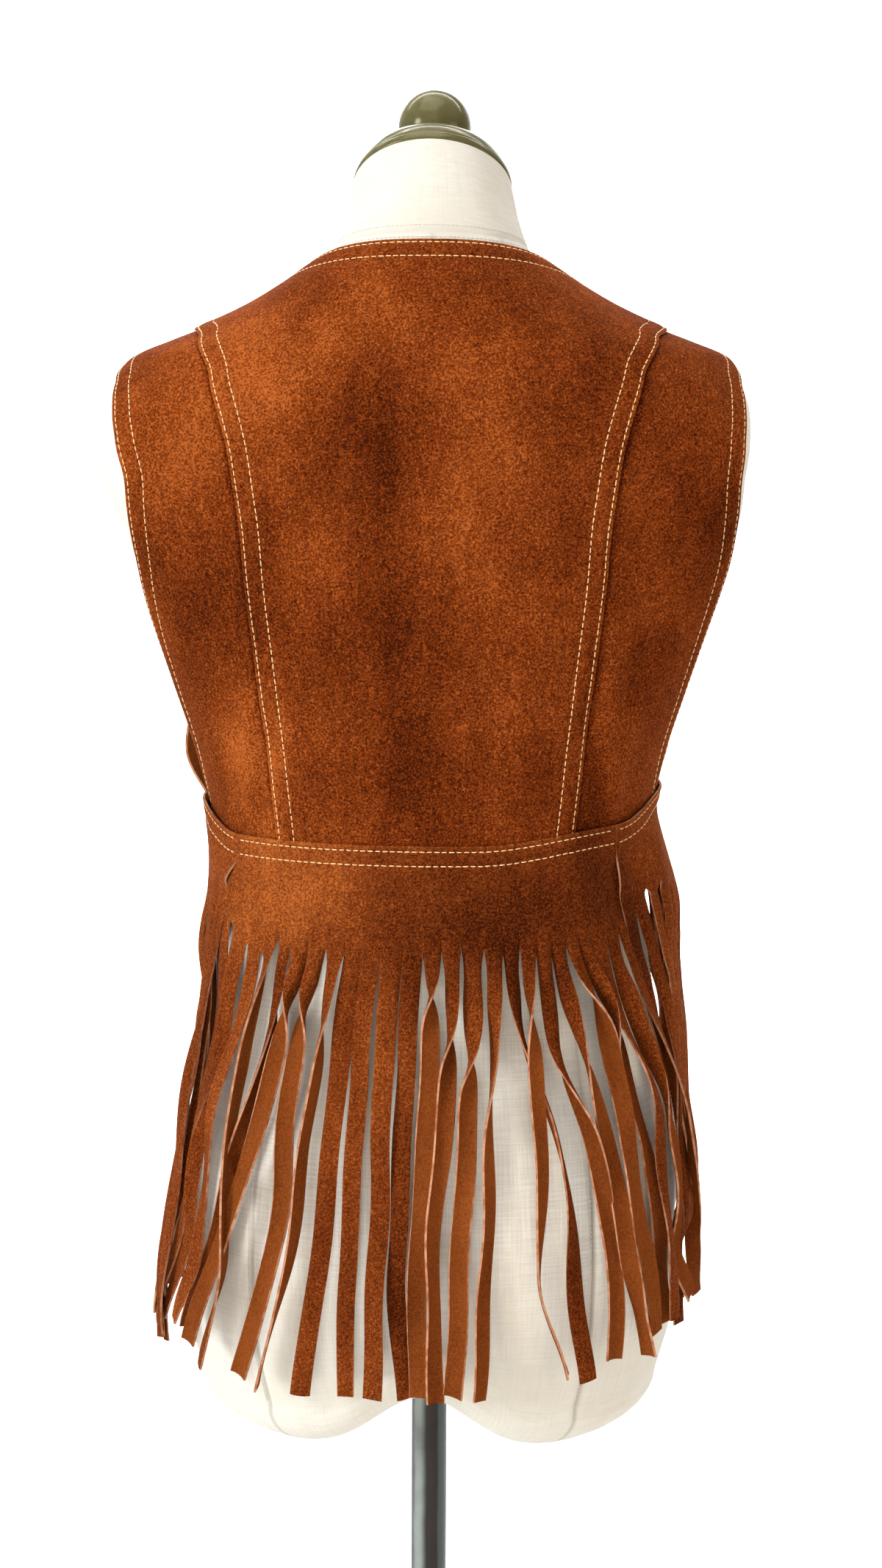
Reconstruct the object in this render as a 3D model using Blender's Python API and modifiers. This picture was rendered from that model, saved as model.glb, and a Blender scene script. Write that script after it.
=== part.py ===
"""Fringed suede vest on a limbless dress form, with the form's pole and round foot.

Metres, +Z up. The origin is on the floor, on the pole's axis. The vest's front faces -Y,
and +X is the wearer's left. Heights called "level" are measured from the vest's waist seam
at the centre back. An "angle" is measured around the pole from the centre back (0 degrees)
through the wearer's left side (90) to the centre front (180); the right half mirrors it.
"""

import math
from typing import NamedTuple

import bmesh
import bpy
import numpy as np
from mathutils import Matrix, Vector

# Driving dimensions
WAIST_HEIGHT = 1.120  # waist seam at the centre back, above the floor
CLOTH = 0.0013  # suede thickness
FRINGE_LAYER = 2  # layers of suede under the fringe panels, the laps included
LAP_GAP = 0.0008  # clear air between two layers of suede
SEAM_GAP = 0.0004  # clear air where two edges butt
FORM_EASE = 0.0010  # least air between the form and the first layer of suede
LAP_WIDTH = 0.010  # how far a panel runs on under the one that laps it
SQUARENESS = 2.25  # exponent of the superellipse sections; 2 is an ellipse
NECK_ROUNDING = ((0.330, SQUARENESS), (0.352, 2.0))  # level, exponent: the neck grows round towards its rim

BACK_STRIPS = 25
FRONT_STRIPS = 25
STRIP_WIDTH = 0.0104
STRIP_TAPER = 0.010  # length over which a slit opens to its full width
BACK_SLIT_LEVEL = -0.056  # where the slits of the fringe begin
FRONT_SLIT_LEVEL = -0.030
BACK_HEM = -0.309  # where the strips end
FRONT_HEM = -0.299
STRIP_STEPS = 5  # sections down one strip
CUT_UNEVENNESS = (0.0, 0.004, -0.003, 0.002, -0.005, 0.001, 0.005, -0.002)

BACK_CORNER = 59.5  # angle of the side corner, where back and front fringe panels meet
CENTRE_FRONT_GAP = 0.004  # half the open space between the two front edges
CENTRE_FRONT_RADIUS = 0.1  # how far the front edges stand from the pole at the waist
SIDE_RADIUS = 0.2  # over the greatest distance of the side corners from the pole
BAND_TUCK = 0.014  # how far the bodice runs on under the fringe panel
TUCK_SHARE = 0.048  # that tuck, as a share of a side back's whole height

NECK_TILT = 34.0  # degrees that the neck's rim leans forward
NECK_RIM_RADIUS = 0.046
NECK_RIM_LEVEL = 0.368

POLE_RADIUS = 0.011
POLE_SEAT_LEVEL = -0.350  # flat seat under the form, where the pole meets it
SEAT_SHARE = 0.115  # the seat's radius, as a share of the lowest section's
UNDER_DEPTH = 0.041  # how far the lobes reach under the lowest section
ARCH_HEIGHT = 0.035  # how far the middle is drawn up between the lobes
ARCH_HALF_WIDTH = 0.040
ARCH_TOP_LEVEL = -0.250  # where the arch fades out up the form
UNDER_SHARES = (SEAT_SHARE, 0.30, 0.52, 0.70, 0.84, 0.93, 0.98)  # rings of the underside
UNDER_FULLNESS = 3.6  # exponent of the underside's curve; higher is flatter below
FORM_COLUMNS = 36
FINE_FORM_LEVEL = 0.22  # above it the form has two rings to a section

CAP_BASE = 0.0003
CAP_STEPS = 40
CAP_PROFILE = (  # radius, height over the neck's rim
    (0.0, 0.0295), (0.0185, 0.0295), (0.0240, 0.0280), (0.0310, 0.0240), (0.0375, 0.0185),
    (0.0420, 0.0130), (0.0448, 0.0070), (NECK_RIM_RADIUS, 0.0030),
)
KNOB_BASE = 0.0298
KNOB_RADIUS = 0.0216
KNOB_CENTRE = 0.0470  # height of the ball's middle over the neck's rim
KNOB_END = 128  # degrees down from the ball's top to its short neck
KNOB_STEPS = 32
KNOB_RING = ((0.0150, 0.0312), (0.0168, 0.0306))  # radius, height
FOOT_RADIUS = 0.180
FOOT_HEIGHT = 0.008
FOOT_ROUNDING = 0.004
POLE_SIDES = 32
FOOT_STEPS = 48


class Section(NamedTuple):
    """One horizontal section: its level, half width, reach back and forward, and middle."""

    level: float
    half_width: float
    back: float
    front: float
    middle: float
    tilt: float = 0.0  # rise per metre towards the back


class EdgePoint(NamedTuple):
    """One point of a cut edge: its level, and the half width it stands at."""

    level: float
    half_width: float


NECK_SLOPE = math.tan(math.radians(NECK_TILT))
RIM_REACH = NECK_RIM_RADIUS * math.cos(math.radians(NECK_TILT))

FORM_SECTIONS = (
    Section(-0.335, 0.141, 0.118, 0.098, 0.010),
    Section(-0.300, 0.150, 0.126, 0.106, 0.010),
    Section(-0.250, 0.155, 0.129, 0.112, 0.009),
    Section(-0.200, 0.152, 0.126, 0.113, 0.008),
    Section(-0.150, 0.144, 0.118, 0.110, 0.006),
    Section(-0.100, 0.135, 0.108, 0.104, 0.004),
    Section(-0.050, 0.128, 0.099, 0.098, 0.003),
    Section(0.000, 0.127, 0.097, 0.098, 0.003),
    Section(0.040, 0.136, 0.099, 0.105, 0.003),
    Section(0.080, 0.149, 0.103, 0.120, 0.003),
    Section(0.120, 0.163, 0.107, 0.136, 0.003),
    Section(0.160, 0.177, 0.110, 0.143, 0.004),
    Section(0.200, 0.190, 0.112, 0.134, 0.006),
    Section(0.225, 0.195, 0.111, 0.122, 0.008),
    Section(0.242, 0.194, 0.110, 0.113, 0.009),
    Section(0.256, 0.187, 0.108, 0.105, 0.010),
    Section(0.265, 0.179, 0.106, 0.100, 0.011),
    Section(0.2725, 0.169, 0.1045, 0.095, 0.012),
    Section(0.280, 0.150, 0.102, 0.089, 0.013),
    Section(0.288, 0.129, 0.0995, 0.082, 0.014),
    Section(0.298, 0.107, 0.0955, 0.072, 0.016),
    Section(0.309, 0.087, 0.090, 0.061, 0.017, 0.03),
    Section(0.320, 0.070, 0.083, 0.049, 0.018, 0.06),
    Section(0.330, 0.059, 0.075, 0.038, 0.019, 0.12),
    Section(0.346, 0.0515, 0.067, 0.027, 0.019, 0.32),
    Section(NECK_RIM_LEVEL, NECK_RIM_RADIUS, 0.019 + RIM_REACH, RIM_REACH - 0.019, 0.019, NECK_SLOPE),
)

# How far the vest stands off the form, over FORM_EASE.
VEST_STAND_OFF = (
    (-0.340, 0.0190), (-0.300, 0.0130), (-0.250, 0.0080), (-0.200, 0.0060), (-0.150, 0.0055),
    (-0.100, 0.0060), (-0.050, 0.0070), (0.000, 0.0025), (0.040, 0.0025), (0.080, 0.0020),
    (0.120, 0.0010), (0.200, 0.0007), (0.240, 0.0012), (0.280, 0.0015), (0.300, 0.0012), (0.340, 0.0010),
)

PRINCESS_EDGE = (
    EdgePoint(-0.014, 0.080), EdgePoint(0.000, 0.082), EdgePoint(0.064, 0.089),
    EdgePoint(0.105, 0.0943), EdgePoint(0.148, 0.0996), EdgePoint(0.186, 0.103),
    EdgePoint(0.226, 0.1095), EdgePoint(0.252, 0.1165), EdgePoint(0.270, 0.1235), EdgePoint(0.2805, 0.1290),
)
PRINCESS_TOP = 0.2860  # level where the seam meets the shoulder line

BACK_ARMHOLE = (
    EdgePoint(0.000, 0.1265), EdgePoint(0.020, 0.1295), EdgePoint(0.041, 0.1340),
    EdgePoint(0.081, 0.1460), EdgePoint(0.105, 0.1540), EdgePoint(0.141, 0.1655),
    EdgePoint(0.165, 0.1720), EdgePoint(0.188, 0.1765), EdgePoint(0.213, 0.1800),
    EdgePoint(0.241, 0.1815), EdgePoint(0.256, 0.1790),
)
FRONT_ARMHOLE = (
    EdgePoint(0.000, 0.1335), EdgePoint(0.041, 0.1380), EdgePoint(0.081, 0.1420),
    EdgePoint(0.120, 0.1430), EdgePoint(0.160, 0.1460), EdgePoint(0.200, 0.1560),
    EdgePoint(0.235, 0.1680),
)
SHOULDER_END = 0.271  # level where both armhole edges meet the shoulder line
NECK_BACK = 0.3285  # level of the neckline at the centre back
NECK_SIDE = 0.3160  # level where it meets the shoulder line
NECK_FALL = 3.0  # power of its fall from one to the other
V_NECK_POINT = 0.090  # level of the V neck's lowest point
V_NECK_SHARE = 0.28  # share of a front's rows below that point
SHOULDER_CURVE = 1.3  # power of an edge's turn into the shoulder line
ROW_CLOSING = 1.6  # how much closer the rows of a back panel stand near the shoulder
FRONT_ROW_CLOSING = 1.4
COLUMN_CLOSING = 1.35  # how much closer the columns stand near a panel's outer edge
BAND_SHARES = (0.0, 0.12, 0.25, 0.55, 1.0)  # rows of a fringe panel's uncut band

SEAM_RISE = 0.016  # how far the waist seam climbs from the back corner to the side
SEAM_RISE_END = 84.0  # angle where the climb ends


# How far the back stands out behind the form at its armhole edge: flat, stiff suede that
# doesn't follow the form round to the side.
ARMHOLE_LIFT = (
    (0.020, 0.0), (0.060, 0.0080), (0.100, 0.0180), (0.140, 0.0250), (0.200, 0.0250),
    (0.235, 0.0170), (0.255, 0.0060), (0.268, 0.0),
)
LIFT_START = 0.100  # half width where the lift begins
LIFT_FULL = 0.180  # half width where it is complete


def smooth(x, rows):
    """Monotone cubic through (x, y) rows, read at x (a number or an array)."""
    xs, ys = (np.array(column, float) for column in zip(*sorted(rows)))
    steps, slopes = np.diff(xs), np.diff(ys) / np.diff(xs)
    tangents = np.concatenate([[slopes[0]], (slopes[:-1] + slopes[1:]) / 2, [slopes[-1]]])
    flat = np.concatenate([[False], slopes[:-1] * slopes[1:] <= 0, [False]])
    tangents[flat] = 0.0
    x = np.clip(np.asarray(x, float), xs[0], xs[-1])
    i = np.clip(np.searchsorted(xs, x) - 1, 0, len(steps) - 1)
    t = (x - xs[i]) / steps[i]
    return ((1 + 2 * t) * (1 - t) ** 2 * ys[i] + t * (1 - t) ** 2 * steps[i] * tangents[i]
            + t * t * (3 - 2 * t) * ys[i + 1] - t * t * (1 - t) * steps[i] * tangents[i + 1])


def form_size(name, level):
    """One column of FORM_SECTIONS, read smoothly at a level."""
    return smooth(level, [(row.level, getattr(row, name)) for row in FORM_SECTIONS])


def section_radius(angle, half_width, depth, power):
    """Polar radius of a superellipse; the angle is measured from its depth axis."""
    across = np.abs(np.sin(angle)) / half_width
    along = np.abs(np.cos(angle)) / depth
    return (across ** power + along ** power) ** (-1 / power)


def form_surface(degrees, level):
    """Points of the dress form, one for each angle and level."""
    angle, level = np.radians(np.asarray(degrees, float)), np.asarray(level, float)
    width, middle = form_size("half_width", level), form_size("middle", level)
    depth = np.where(np.cos(angle) >= 0, form_size("back", level) - middle,
                     form_size("front", level) + middle)
    radius = section_radius(angle, width, depth, smooth(level, NECK_ROUNDING))
    x, y = radius * np.sin(angle), radius * np.cos(angle)
    z = WAIST_HEIGHT + level + form_size("tilt", level) * y
    return np.stack([x, y + middle, z + 0 * x], axis=-1)


def form_normal(degrees, level):
    """Unit vectors pointing out of the dress form."""
    around = form_surface(np.asarray(degrees) + 0.5, level) - form_surface(np.asarray(degrees) - 0.5, level)
    up = form_surface(degrees, np.asarray(level) + 0.002) - form_surface(degrees, np.asarray(level) - 0.002)
    normal = np.cross(up, around)
    return normal / np.linalg.norm(normal, axis=-1, keepdims=True)


def vest_surface(degrees, level, layer):
    """Inner face of a layer of suede, at each angle and level. Layer 0 lies on the form."""
    stand_off = FORM_EASE + smooth(level, VEST_STAND_OFF) + layer * (CLOTH + LAP_GAP)
    points = form_surface(degrees, level) + form_normal(degrees, level) * np.asarray(stand_off)[..., None]
    share = np.clip((np.abs(points[..., 0]) - LIFT_START) / (LIFT_FULL - LIFT_START), 0, 1.2)
    points[..., 1] += smooth(level, ARMHOLE_LIFT) * share ** 2 * (np.abs(degrees) < 90)
    return points


def edge_angle(rows, level, front=False):
    """Angle of a cut edge given by its half width, at a level; 90 degrees on the shoulder line."""
    found = []
    for row in rows:
        width = float(form_size("half_width", row.level))
        middle = float(form_size("middle", row.level))
        reach = form_size("front", row.level) + middle if front else form_size("back", row.level) - middle
        share = min(row.half_width / width, 1.0)
        depth = float(reach) * (1 - share ** SQUARENESS) ** (1 / SQUARENESS)
        angle = math.degrees(math.atan2(row.half_width, depth))
        found.append((row.level, 180 - angle if front else angle))
    return smooth(level, found)


def seam_angle(angle_rows, top_level, level, front=False):
    """edge_angle, closing on the shoulder line at top_level."""
    last = angle_rows[-1].level
    inner = edge_angle(angle_rows, np.minimum(level, last), front)
    share = np.clip((np.asarray(level) - last) / (top_level - last), 0, 1)
    return inner + (90 - inner) * share ** SHOULDER_CURVE


def gap_angle(level, width):
    """Degrees around the form that make up a width, at the shoulder line."""
    return math.degrees(1) * width / form_size("half_width", level)


def waist_level(degrees):
    """Level of the fringe panel's top edge."""
    share = np.clip((np.abs(degrees) - BACK_CORNER) / (SEAM_RISE_END - BACK_CORNER), 0, 1)
    return SEAM_RISE * share * share * (3 - 2 * share)


def closing_steps(count, power):
    """count numbers from 0 to 1, closer together towards 1."""
    return 1 - (1 - np.linspace(0, 1, count)) ** power


def equal_steps(start, end, count, level):
    """count + 1 angles, equally spaced along the section at a level."""
    fine = np.linspace(start, end, 241)
    points = vest_surface(fine, np.full(fine.shape, level), 0)
    run = np.concatenate([[0], np.cumsum(np.linalg.norm(np.diff(points, axis=0), axis=1))])
    return np.interp(np.linspace(0, run[-1], count + 1), run, fine)


# Blender helpers


def new_collection(name):
    """A collection in the scene."""
    made = bpy.data.collections.new(name)
    bpy.context.scene.collection.children.link(made)
    return made


def finish(name, color, roughness, metallic=0.0):
    """A Principled material."""
    made = bpy.data.materials.new(name)
    made.use_nodes = True
    shader = made.node_tree.nodes["Principled BSDF"]
    shader.inputs["Base Color"].default_value = (*color, 1.0)
    shader.inputs["Roughness"].default_value = roughness
    shader.inputs["Metallic"].default_value = metallic
    return made


def mesh_object(name, mesh, collection, material):
    """An object for a mesh, shaded smooth."""
    mesh.materials.append(material)
    mesh.shade_smooth()
    made = bpy.data.objects.new(name, mesh)
    collection.objects.link(made)
    return made


def grid_faces(rows, columns):
    """Corner numbers of the faces of a grid of points; columns run towards +angle, rows go up."""
    return [(r * columns + c, r * columns + c + 1, (r + 1) * columns + c + 1, (r + 1) * columns + c)
            for r in range(rows - 1) for c in range(columns - 1)]


def thicken(obj):
    """Makes an open panel, drawn on its inner face, into a wall of suede."""
    solidify = obj.modifiers.new("suede thickness", "SOLIDIFY")
    solidify.thickness = CLOTH
    solidify.offset = 1.0
    solidify.use_even_offset = True


def panel(name, degrees, levels, layer, collection, material):
    """A cloth panel from a grid of angles and levels."""
    points = vest_surface(degrees, levels, layer)
    rows, columns = degrees.shape
    mesh = bpy.data.meshes.new(name)
    mesh.from_pydata([tuple(p) for p in points.reshape(-1, 3)], [], grid_faces(rows, columns))
    face_out(mesh)
    made = mesh_object(name, mesh, collection, material)
    thicken(made)
    return made


def face_out(mesh):
    """Turns every face of an open panel away from the pole."""
    shape = bmesh.new()
    shape.from_mesh(mesh)
    bmesh.ops.recalc_face_normals(shape, faces=shape.faces)
    shape.normal_update()
    outward = sum(f.normal.dot(Vector((f.calc_center_median().x, f.calc_center_median().y, 0)))
                  for f in shape.faces)
    if outward < 0:
        bmesh.ops.reverse_faces(shape, faces=shape.faces)
    shape.to_mesh(mesh)
    shape.free()


def turned(name, profile, steps, collection, material):
    """A solid of revolution about Z; the profile runs down its outer side, top to bottom."""
    mesh = bpy.data.meshes.new(name)
    mesh.from_pydata([(r, 0.0, z) for r, z in profile], [(i, i + 1) for i in range(len(profile) - 1)], [])
    made = mesh_object(name, mesh, collection, material)
    screw = made.modifiers.new("turning", "SCREW")
    screw.steps = screw.render_steps = steps
    screw.use_merge_vertices = True
    screw.merge_threshold = 0.00001
    screw.use_smooth_shade = True
    return made


def arc(radius, centre, start, end, count, middle=0.0):
    """Points (r, z) on an arc in a turned profile; angles in degrees from the axis."""
    turns = np.radians(np.linspace(start, end, count))
    return [(middle + radius * math.sin(t), centre + radius * math.cos(t)) for t in turns]


# The dress form


def form_torso(collection, material):
    """The padded torso: stacked sections, with two soft lobes underneath and a flat neck rim."""
    columns, levels = FORM_COLUMNS, []
    for lower, upper in zip(FORM_SECTIONS[:-1], FORM_SECTIONS[1:]):
        steps = 2 if lower.level > FINE_FORM_LEVEL else 1
        levels += [lower.level + (upper.level - lower.level) * i / steps for i in range(steps)]
    levels.append(FORM_SECTIONS[-1].level)
    degrees = np.arange(columns) * 360 / columns
    rings = [under_ring(degrees, share) for share in UNDER_SHARES]
    for level in levels:
        ring = form_surface(degrees, np.full(columns, level))
        ring[:, 2] += arch(ring[:, 0], level)
        rings.append(ring)
    mesh = bpy.data.meshes.new("form_torso")
    shape = bmesh.new()
    corners = [[shape.verts.new(p) for p in ring] for ring in rings]
    for low, high in zip(corners[:-1], corners[1:]):
        for c in range(columns):
            d = (c + 1) % columns
            shape.faces.new((low[c], high[c], high[d], low[d]))
    shape.faces.new(corners[0])
    shape.faces.new(corners[-1][::-1])
    bmesh.ops.recalc_face_normals(shape, faces=shape.faces)
    shape.to_mesh(mesh)
    shape.free()
    return mesh_object("form_torso", mesh, collection, material)


def under_ring(degrees, share):
    """A ring of the form's underside, at a share of its lowest section's radius."""
    lowest = FORM_SECTIONS[0].level
    points = form_surface(degrees, np.full(len(degrees), lowest))
    points[:, :2] *= share
    if share == SEAT_SHARE:
        points[:, 2] = WAIST_HEIGHT + POLE_SEAT_LEVEL
        return points
    points[:, 2] += arch(points[:, 0], lowest) - UNDER_DEPTH * (1 - share ** UNDER_FULLNESS) ** 0.5
    return points


def arch(x, level):
    """How far the form's lower end is drawn up between its two lobes."""
    fade = np.clip((ARCH_TOP_LEVEL - level) / (ARCH_TOP_LEVEL - FORM_SECTIONS[0].level), 0, 1)
    return ARCH_HEIGHT * np.exp(-((x / ARCH_HALF_WIDTH) ** 2)) * fade * fade


def neck_frame():
    """Placement of the neck's rim: its middle, leaning forward."""
    rim = FORM_SECTIONS[-1]
    place = Matrix.Translation((0.0, rim.middle, WAIST_HEIGHT + rim.level))
    return place @ Matrix.Rotation(math.radians(NECK_TILT), 4, "X")


def neck_cap(collection, material):
    """The turned cap that closes the neck."""
    profile = [*CAP_PROFILE, (NECK_RIM_RADIUS, CAP_BASE), (0.0, CAP_BASE)]
    made = turned("neck_cap", profile, CAP_STEPS, collection, material)
    made.matrix_world = neck_frame()
    return made


def cap_knob(collection, material):
    """The ball on the cap, on a short ringed neck."""
    profile = arc(KNOB_RADIUS, KNOB_CENTRE, 0, KNOB_END, 13)
    profile += [*KNOB_RING, (KNOB_RING[-1][0], KNOB_BASE), (0.0, KNOB_BASE)]
    made = turned("cap_knob", profile, KNOB_STEPS, collection, material)
    made.matrix_world = neck_frame()
    return made


def pole(collection, material):
    """The steel pole, from the foot up to the seat under the form."""
    top = WAIST_HEIGHT + POLE_SEAT_LEVEL - LAP_GAP
    bottom = FOOT_HEIGHT + LAP_GAP
    bpy.ops.mesh.primitive_cylinder_add(vertices=POLE_SIDES, radius=POLE_RADIUS, depth=top - bottom,
                                        location=(0, 0, (top + bottom) / 2))
    made = bpy.context.object
    made.name = made.data.name = "pole"
    for holder in list(made.users_collection):
        holder.objects.unlink(made)
    collection.objects.link(made)
    made.data.materials.append(material)
    return made


def foot(collection, material):
    """The round steel foot."""
    profile = [(0.0, FOOT_HEIGHT)]
    profile += arc(FOOT_ROUNDING, FOOT_HEIGHT - FOOT_ROUNDING, 0, 90, 4, FOOT_RADIUS - FOOT_ROUNDING)
    profile += [(FOOT_RADIUS, 0.0), (0.0, 0.0)]
    return turned("foot", profile, FOOT_STEPS, collection, material)


# The vest


def back_centre(collection, material):
    """The centre back, which laps over the two side backs."""
    rise = np.concatenate([[-BAND_TUCK, -BAND_TUCK / 2], closing_steps(18, ROW_CLOSING) * PRINCESS_TOP])
    levels = np.concatenate([rise, np.linspace(PRINCESS_TOP, NECK_BACK, 7)[1:]])
    reach = seam_angle(PRINCESS_EDGE, PRINCESS_TOP, levels) - gap_angle(levels, SEAM_GAP / 2)
    half = closing_steps(9, COLUMN_CLOSING)
    across = np.concatenate([-half[:0:-1], half])
    degrees = reach[:, None] * across[None, :]
    over = np.clip((levels - PRINCESS_TOP) / (NECK_BACK - PRINCESS_TOP), 0, 1)[:, None]
    fall = (NECK_BACK - NECK_SIDE) * np.abs(degrees / 90) ** NECK_FALL
    return panel("back_centre", degrees, levels[:, None] - over * fall, 1, collection, material)


def back_side(name, side, collection, material):
    """One side back, from under the centre back to the armhole."""
    over = TUCK_SHARE + (1 - TUCK_SHARE) * closing_steps(19, ROW_CLOSING)
    share = np.concatenate([[0, TUCK_SHARE / 2], over])[:, None]
    inner_level = -BAND_TUCK + share * (PRINCESS_TOP + BAND_TUCK)
    outer_level = -BAND_TUCK + share * (SHOULDER_END + BAND_TUCK)
    inner = seam_angle(PRINCESS_EDGE, PRINCESS_TOP, inner_level) - gap_angle(inner_level, LAP_WIDTH)
    inner = inner + share ** 4 * gap_angle(inner_level, LAP_WIDTH)
    outer = seam_angle(BACK_ARMHOLE, SHOULDER_END, outer_level) - gap_angle(outer_level, SEAM_GAP / 2)
    across = closing_steps(9, COLUMN_CLOSING)[None, :]
    degrees = inner + (outer - inner) * across
    levels = inner_level + (outer_level - inner_level) * across
    return panel(name, side * degrees, levels, 0, collection, material)


def front(name, side, collection, material):
    """One front, from the shoulder to the waist, with its half of the V neck."""
    split = V_NECK_SHARE
    upper = split + (1 - split) * closing_steps(16, FRONT_ROW_CLOSING)[1:]
    share = np.concatenate([np.linspace(0, split, 4), upper])
    share = share[:, None]
    low = np.clip(share / split, 0, 1)
    high = np.clip((share - split) / (1 - split), 0, 1)
    inner_level = -BAND_TUCK + low * (V_NECK_POINT + BAND_TUCK) + high * (NECK_SIDE - V_NECK_POINT)
    outer_level = -BAND_TUCK + share * (SHOULDER_END + BAND_TUCK)
    neck_width = CENTRE_FRONT_GAP + high * (form_size("half_width", NECK_SIDE) - CENTRE_FRONT_GAP)
    inner = edge_angles_at(neck_width, inner_level)
    inner = np.maximum(inner, 90 + gap_angle(inner_level, SEAM_GAP / 2))
    outer = seam_angle(FRONT_ARMHOLE, SHOULDER_END, outer_level, front=True)
    outer = outer + gap_angle(outer_level, SEAM_GAP / 2)
    across = closing_steps(13, COLUMN_CLOSING)[None, :]
    degrees = inner + (outer - inner) * across
    levels = inner_level + (outer_level - inner_level) * across
    return panel(name, side * degrees, levels, 0, collection, material)


def edge_angles_at(widths, levels):
    """Angles on the front half where the form's section has the given half widths."""
    sizes = form_size("half_width", levels)
    reach = form_size("front", levels) + form_size("middle", levels)
    share = np.clip(widths / sizes, 0, 1)
    depth = reach * (1 - share ** SQUARENESS) ** (1 / SQUARENESS)
    return 180 - np.degrees(np.arctan2(widths, depth))


def fringe(name, start, end, strips, slit_level, hem_level, collection, material):
    """A fringe panel: an uncut band under the waist seam, cut into strips below it."""
    edges = equal_steps(start, end, strips, slit_level)
    shape = bmesh.new()

    def corner(degrees, level):
        point = vest_surface(np.array([degrees]), np.array([level]), FRINGE_LAYER)[0]
        return shape.verts.new(point)

    band = []
    for share in BAND_SHARES:
        levels = waist_level(edges) * (1 - share) + slit_level * share
        band.append([corner(a, z) for a, z in zip(edges, levels)])
    for high, low in zip(band[:-1], band[1:]):
        for c in range(strips):
            shape.faces.new((low[c], low[c + 1], high[c + 1], high[c]))
    for c in range(strips):
        last = (band[-1][c], band[-1][c + 1])
        middle = (edges[c] + edges[c + 1]) / 2
        hem = hem_level + CUT_UNEVENNESS[c % len(CUT_UNEVENNESS)]
        stops = np.linspace(slit_level - STRIP_TAPER, hem, STRIP_STEPS)
        for level in stops:
            centre = vest_surface(np.array([middle]), np.array([level]), FRINGE_LAYER)[0]
            radius = np.linalg.norm(centre[:2])
            half = math.degrees(STRIP_WIDTH / 2 / radius) * facing(middle, level)
            pair = (corner(middle - half, level), corner(middle + half, level))
            shape.faces.new((pair[0], pair[1], last[1], last[0]))
            last = pair
    mesh = bpy.data.meshes.new(name)
    shape.to_mesh(mesh)
    shape.free()
    face_out(mesh)
    made = mesh_object(name, mesh, collection, material)
    thicken(made)
    return made


def facing(degrees, level):
    """Share of a step around the pole that shows as width along the cloth."""
    ends = vest_surface(np.array([degrees - 0.5, degrees + 0.5]), np.array([level, level]), FRINGE_LAYER)
    radius = np.linalg.norm(ends.mean(axis=0)[:2])
    return math.radians(1.0) * radius / float(np.linalg.norm(ends[1] - ends[0]))


def main():
    """Clears the scene and builds every piece."""
    for obj in list(bpy.data.objects):
        bpy.data.objects.remove(obj)
    made = new_collection("fringed_suede_vest")
    canvas = finish("canvas", (0.83, 0.77, 0.66), 0.9)
    bronze = finish("cap_bronze", (0.23, 0.21, 0.13), 0.25, 0.7)
    steel = finish("pole_steel", (0.20, 0.20, 0.20), 0.3, 1.0)
    suede = finish("suede", (0.42, 0.14, 0.035), 0.95)

    form_torso(made, canvas)
    neck_cap(made, bronze)
    cap_knob(made, bronze)
    pole(made, steel)
    foot(made, steel)

    back_centre(made, suede)
    for side, word in ((1, "left"), (-1, "right")):
        back_side(f"back_side_{word}", side, made, suede)
        front(f"front_{word}", side, made, suede)
        corner = BACK_CORNER + math.degrees(SEAM_GAP / SIDE_RADIUS)
        centre = 180 - math.degrees(CENTRE_FRONT_GAP / CENTRE_FRONT_RADIUS)
        ends = sorted((side * corner, side * centre))
        fringe(f"fringe_front_{word}", *ends, FRONT_STRIPS, FRONT_SLIT_LEVEL, FRONT_HEM, made, suede)
    fringe("fringe_back", -BACK_CORNER, BACK_CORNER, BACK_STRIPS, BACK_SLIT_LEVEL, BACK_HEM, made, suede)


main()
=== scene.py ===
"""Fringed suede vest on a limbless dress form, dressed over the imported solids.

Metres, +Z up, origin on the floor at the pole's axis. The vest's front faces -Y and +X is the
wearer's left. A "level" is a height over the waist seam at the centre back. An "angle" is
measured around the pole, in degrees, from the centre back (0) through the wearer's left side
(90) to the centre front (180).
"""

import logging
import math
import random
from dataclasses import dataclass, field
from enum import Enum
from functools import lru_cache
from typing import Sequence

import bmesh
import bpy
import numpy as np
from mathutils import Matrix, Vector


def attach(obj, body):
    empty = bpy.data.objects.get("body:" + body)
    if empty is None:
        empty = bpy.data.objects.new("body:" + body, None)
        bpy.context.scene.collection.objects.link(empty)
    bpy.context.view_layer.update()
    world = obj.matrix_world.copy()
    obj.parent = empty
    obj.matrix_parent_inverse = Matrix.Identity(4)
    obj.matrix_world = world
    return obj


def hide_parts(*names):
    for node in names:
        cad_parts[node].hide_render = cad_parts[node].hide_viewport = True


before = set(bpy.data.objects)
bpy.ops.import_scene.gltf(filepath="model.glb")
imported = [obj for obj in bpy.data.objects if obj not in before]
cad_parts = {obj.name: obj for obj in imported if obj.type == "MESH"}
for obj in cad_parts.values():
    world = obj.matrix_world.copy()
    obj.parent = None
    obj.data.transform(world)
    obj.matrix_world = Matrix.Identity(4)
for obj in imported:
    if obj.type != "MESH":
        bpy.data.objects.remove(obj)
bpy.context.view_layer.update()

LOG = logging.getLogger("vest")
Array = np.ndarray
Material, Object, Socket = bpy.types.Material, bpy.types.Object, bpy.types.NodeSocket
Pair = tuple[float, float]
Triple = tuple[float, float, float]
Color = Triple
Rows = tuple[Pair, ...]

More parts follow.
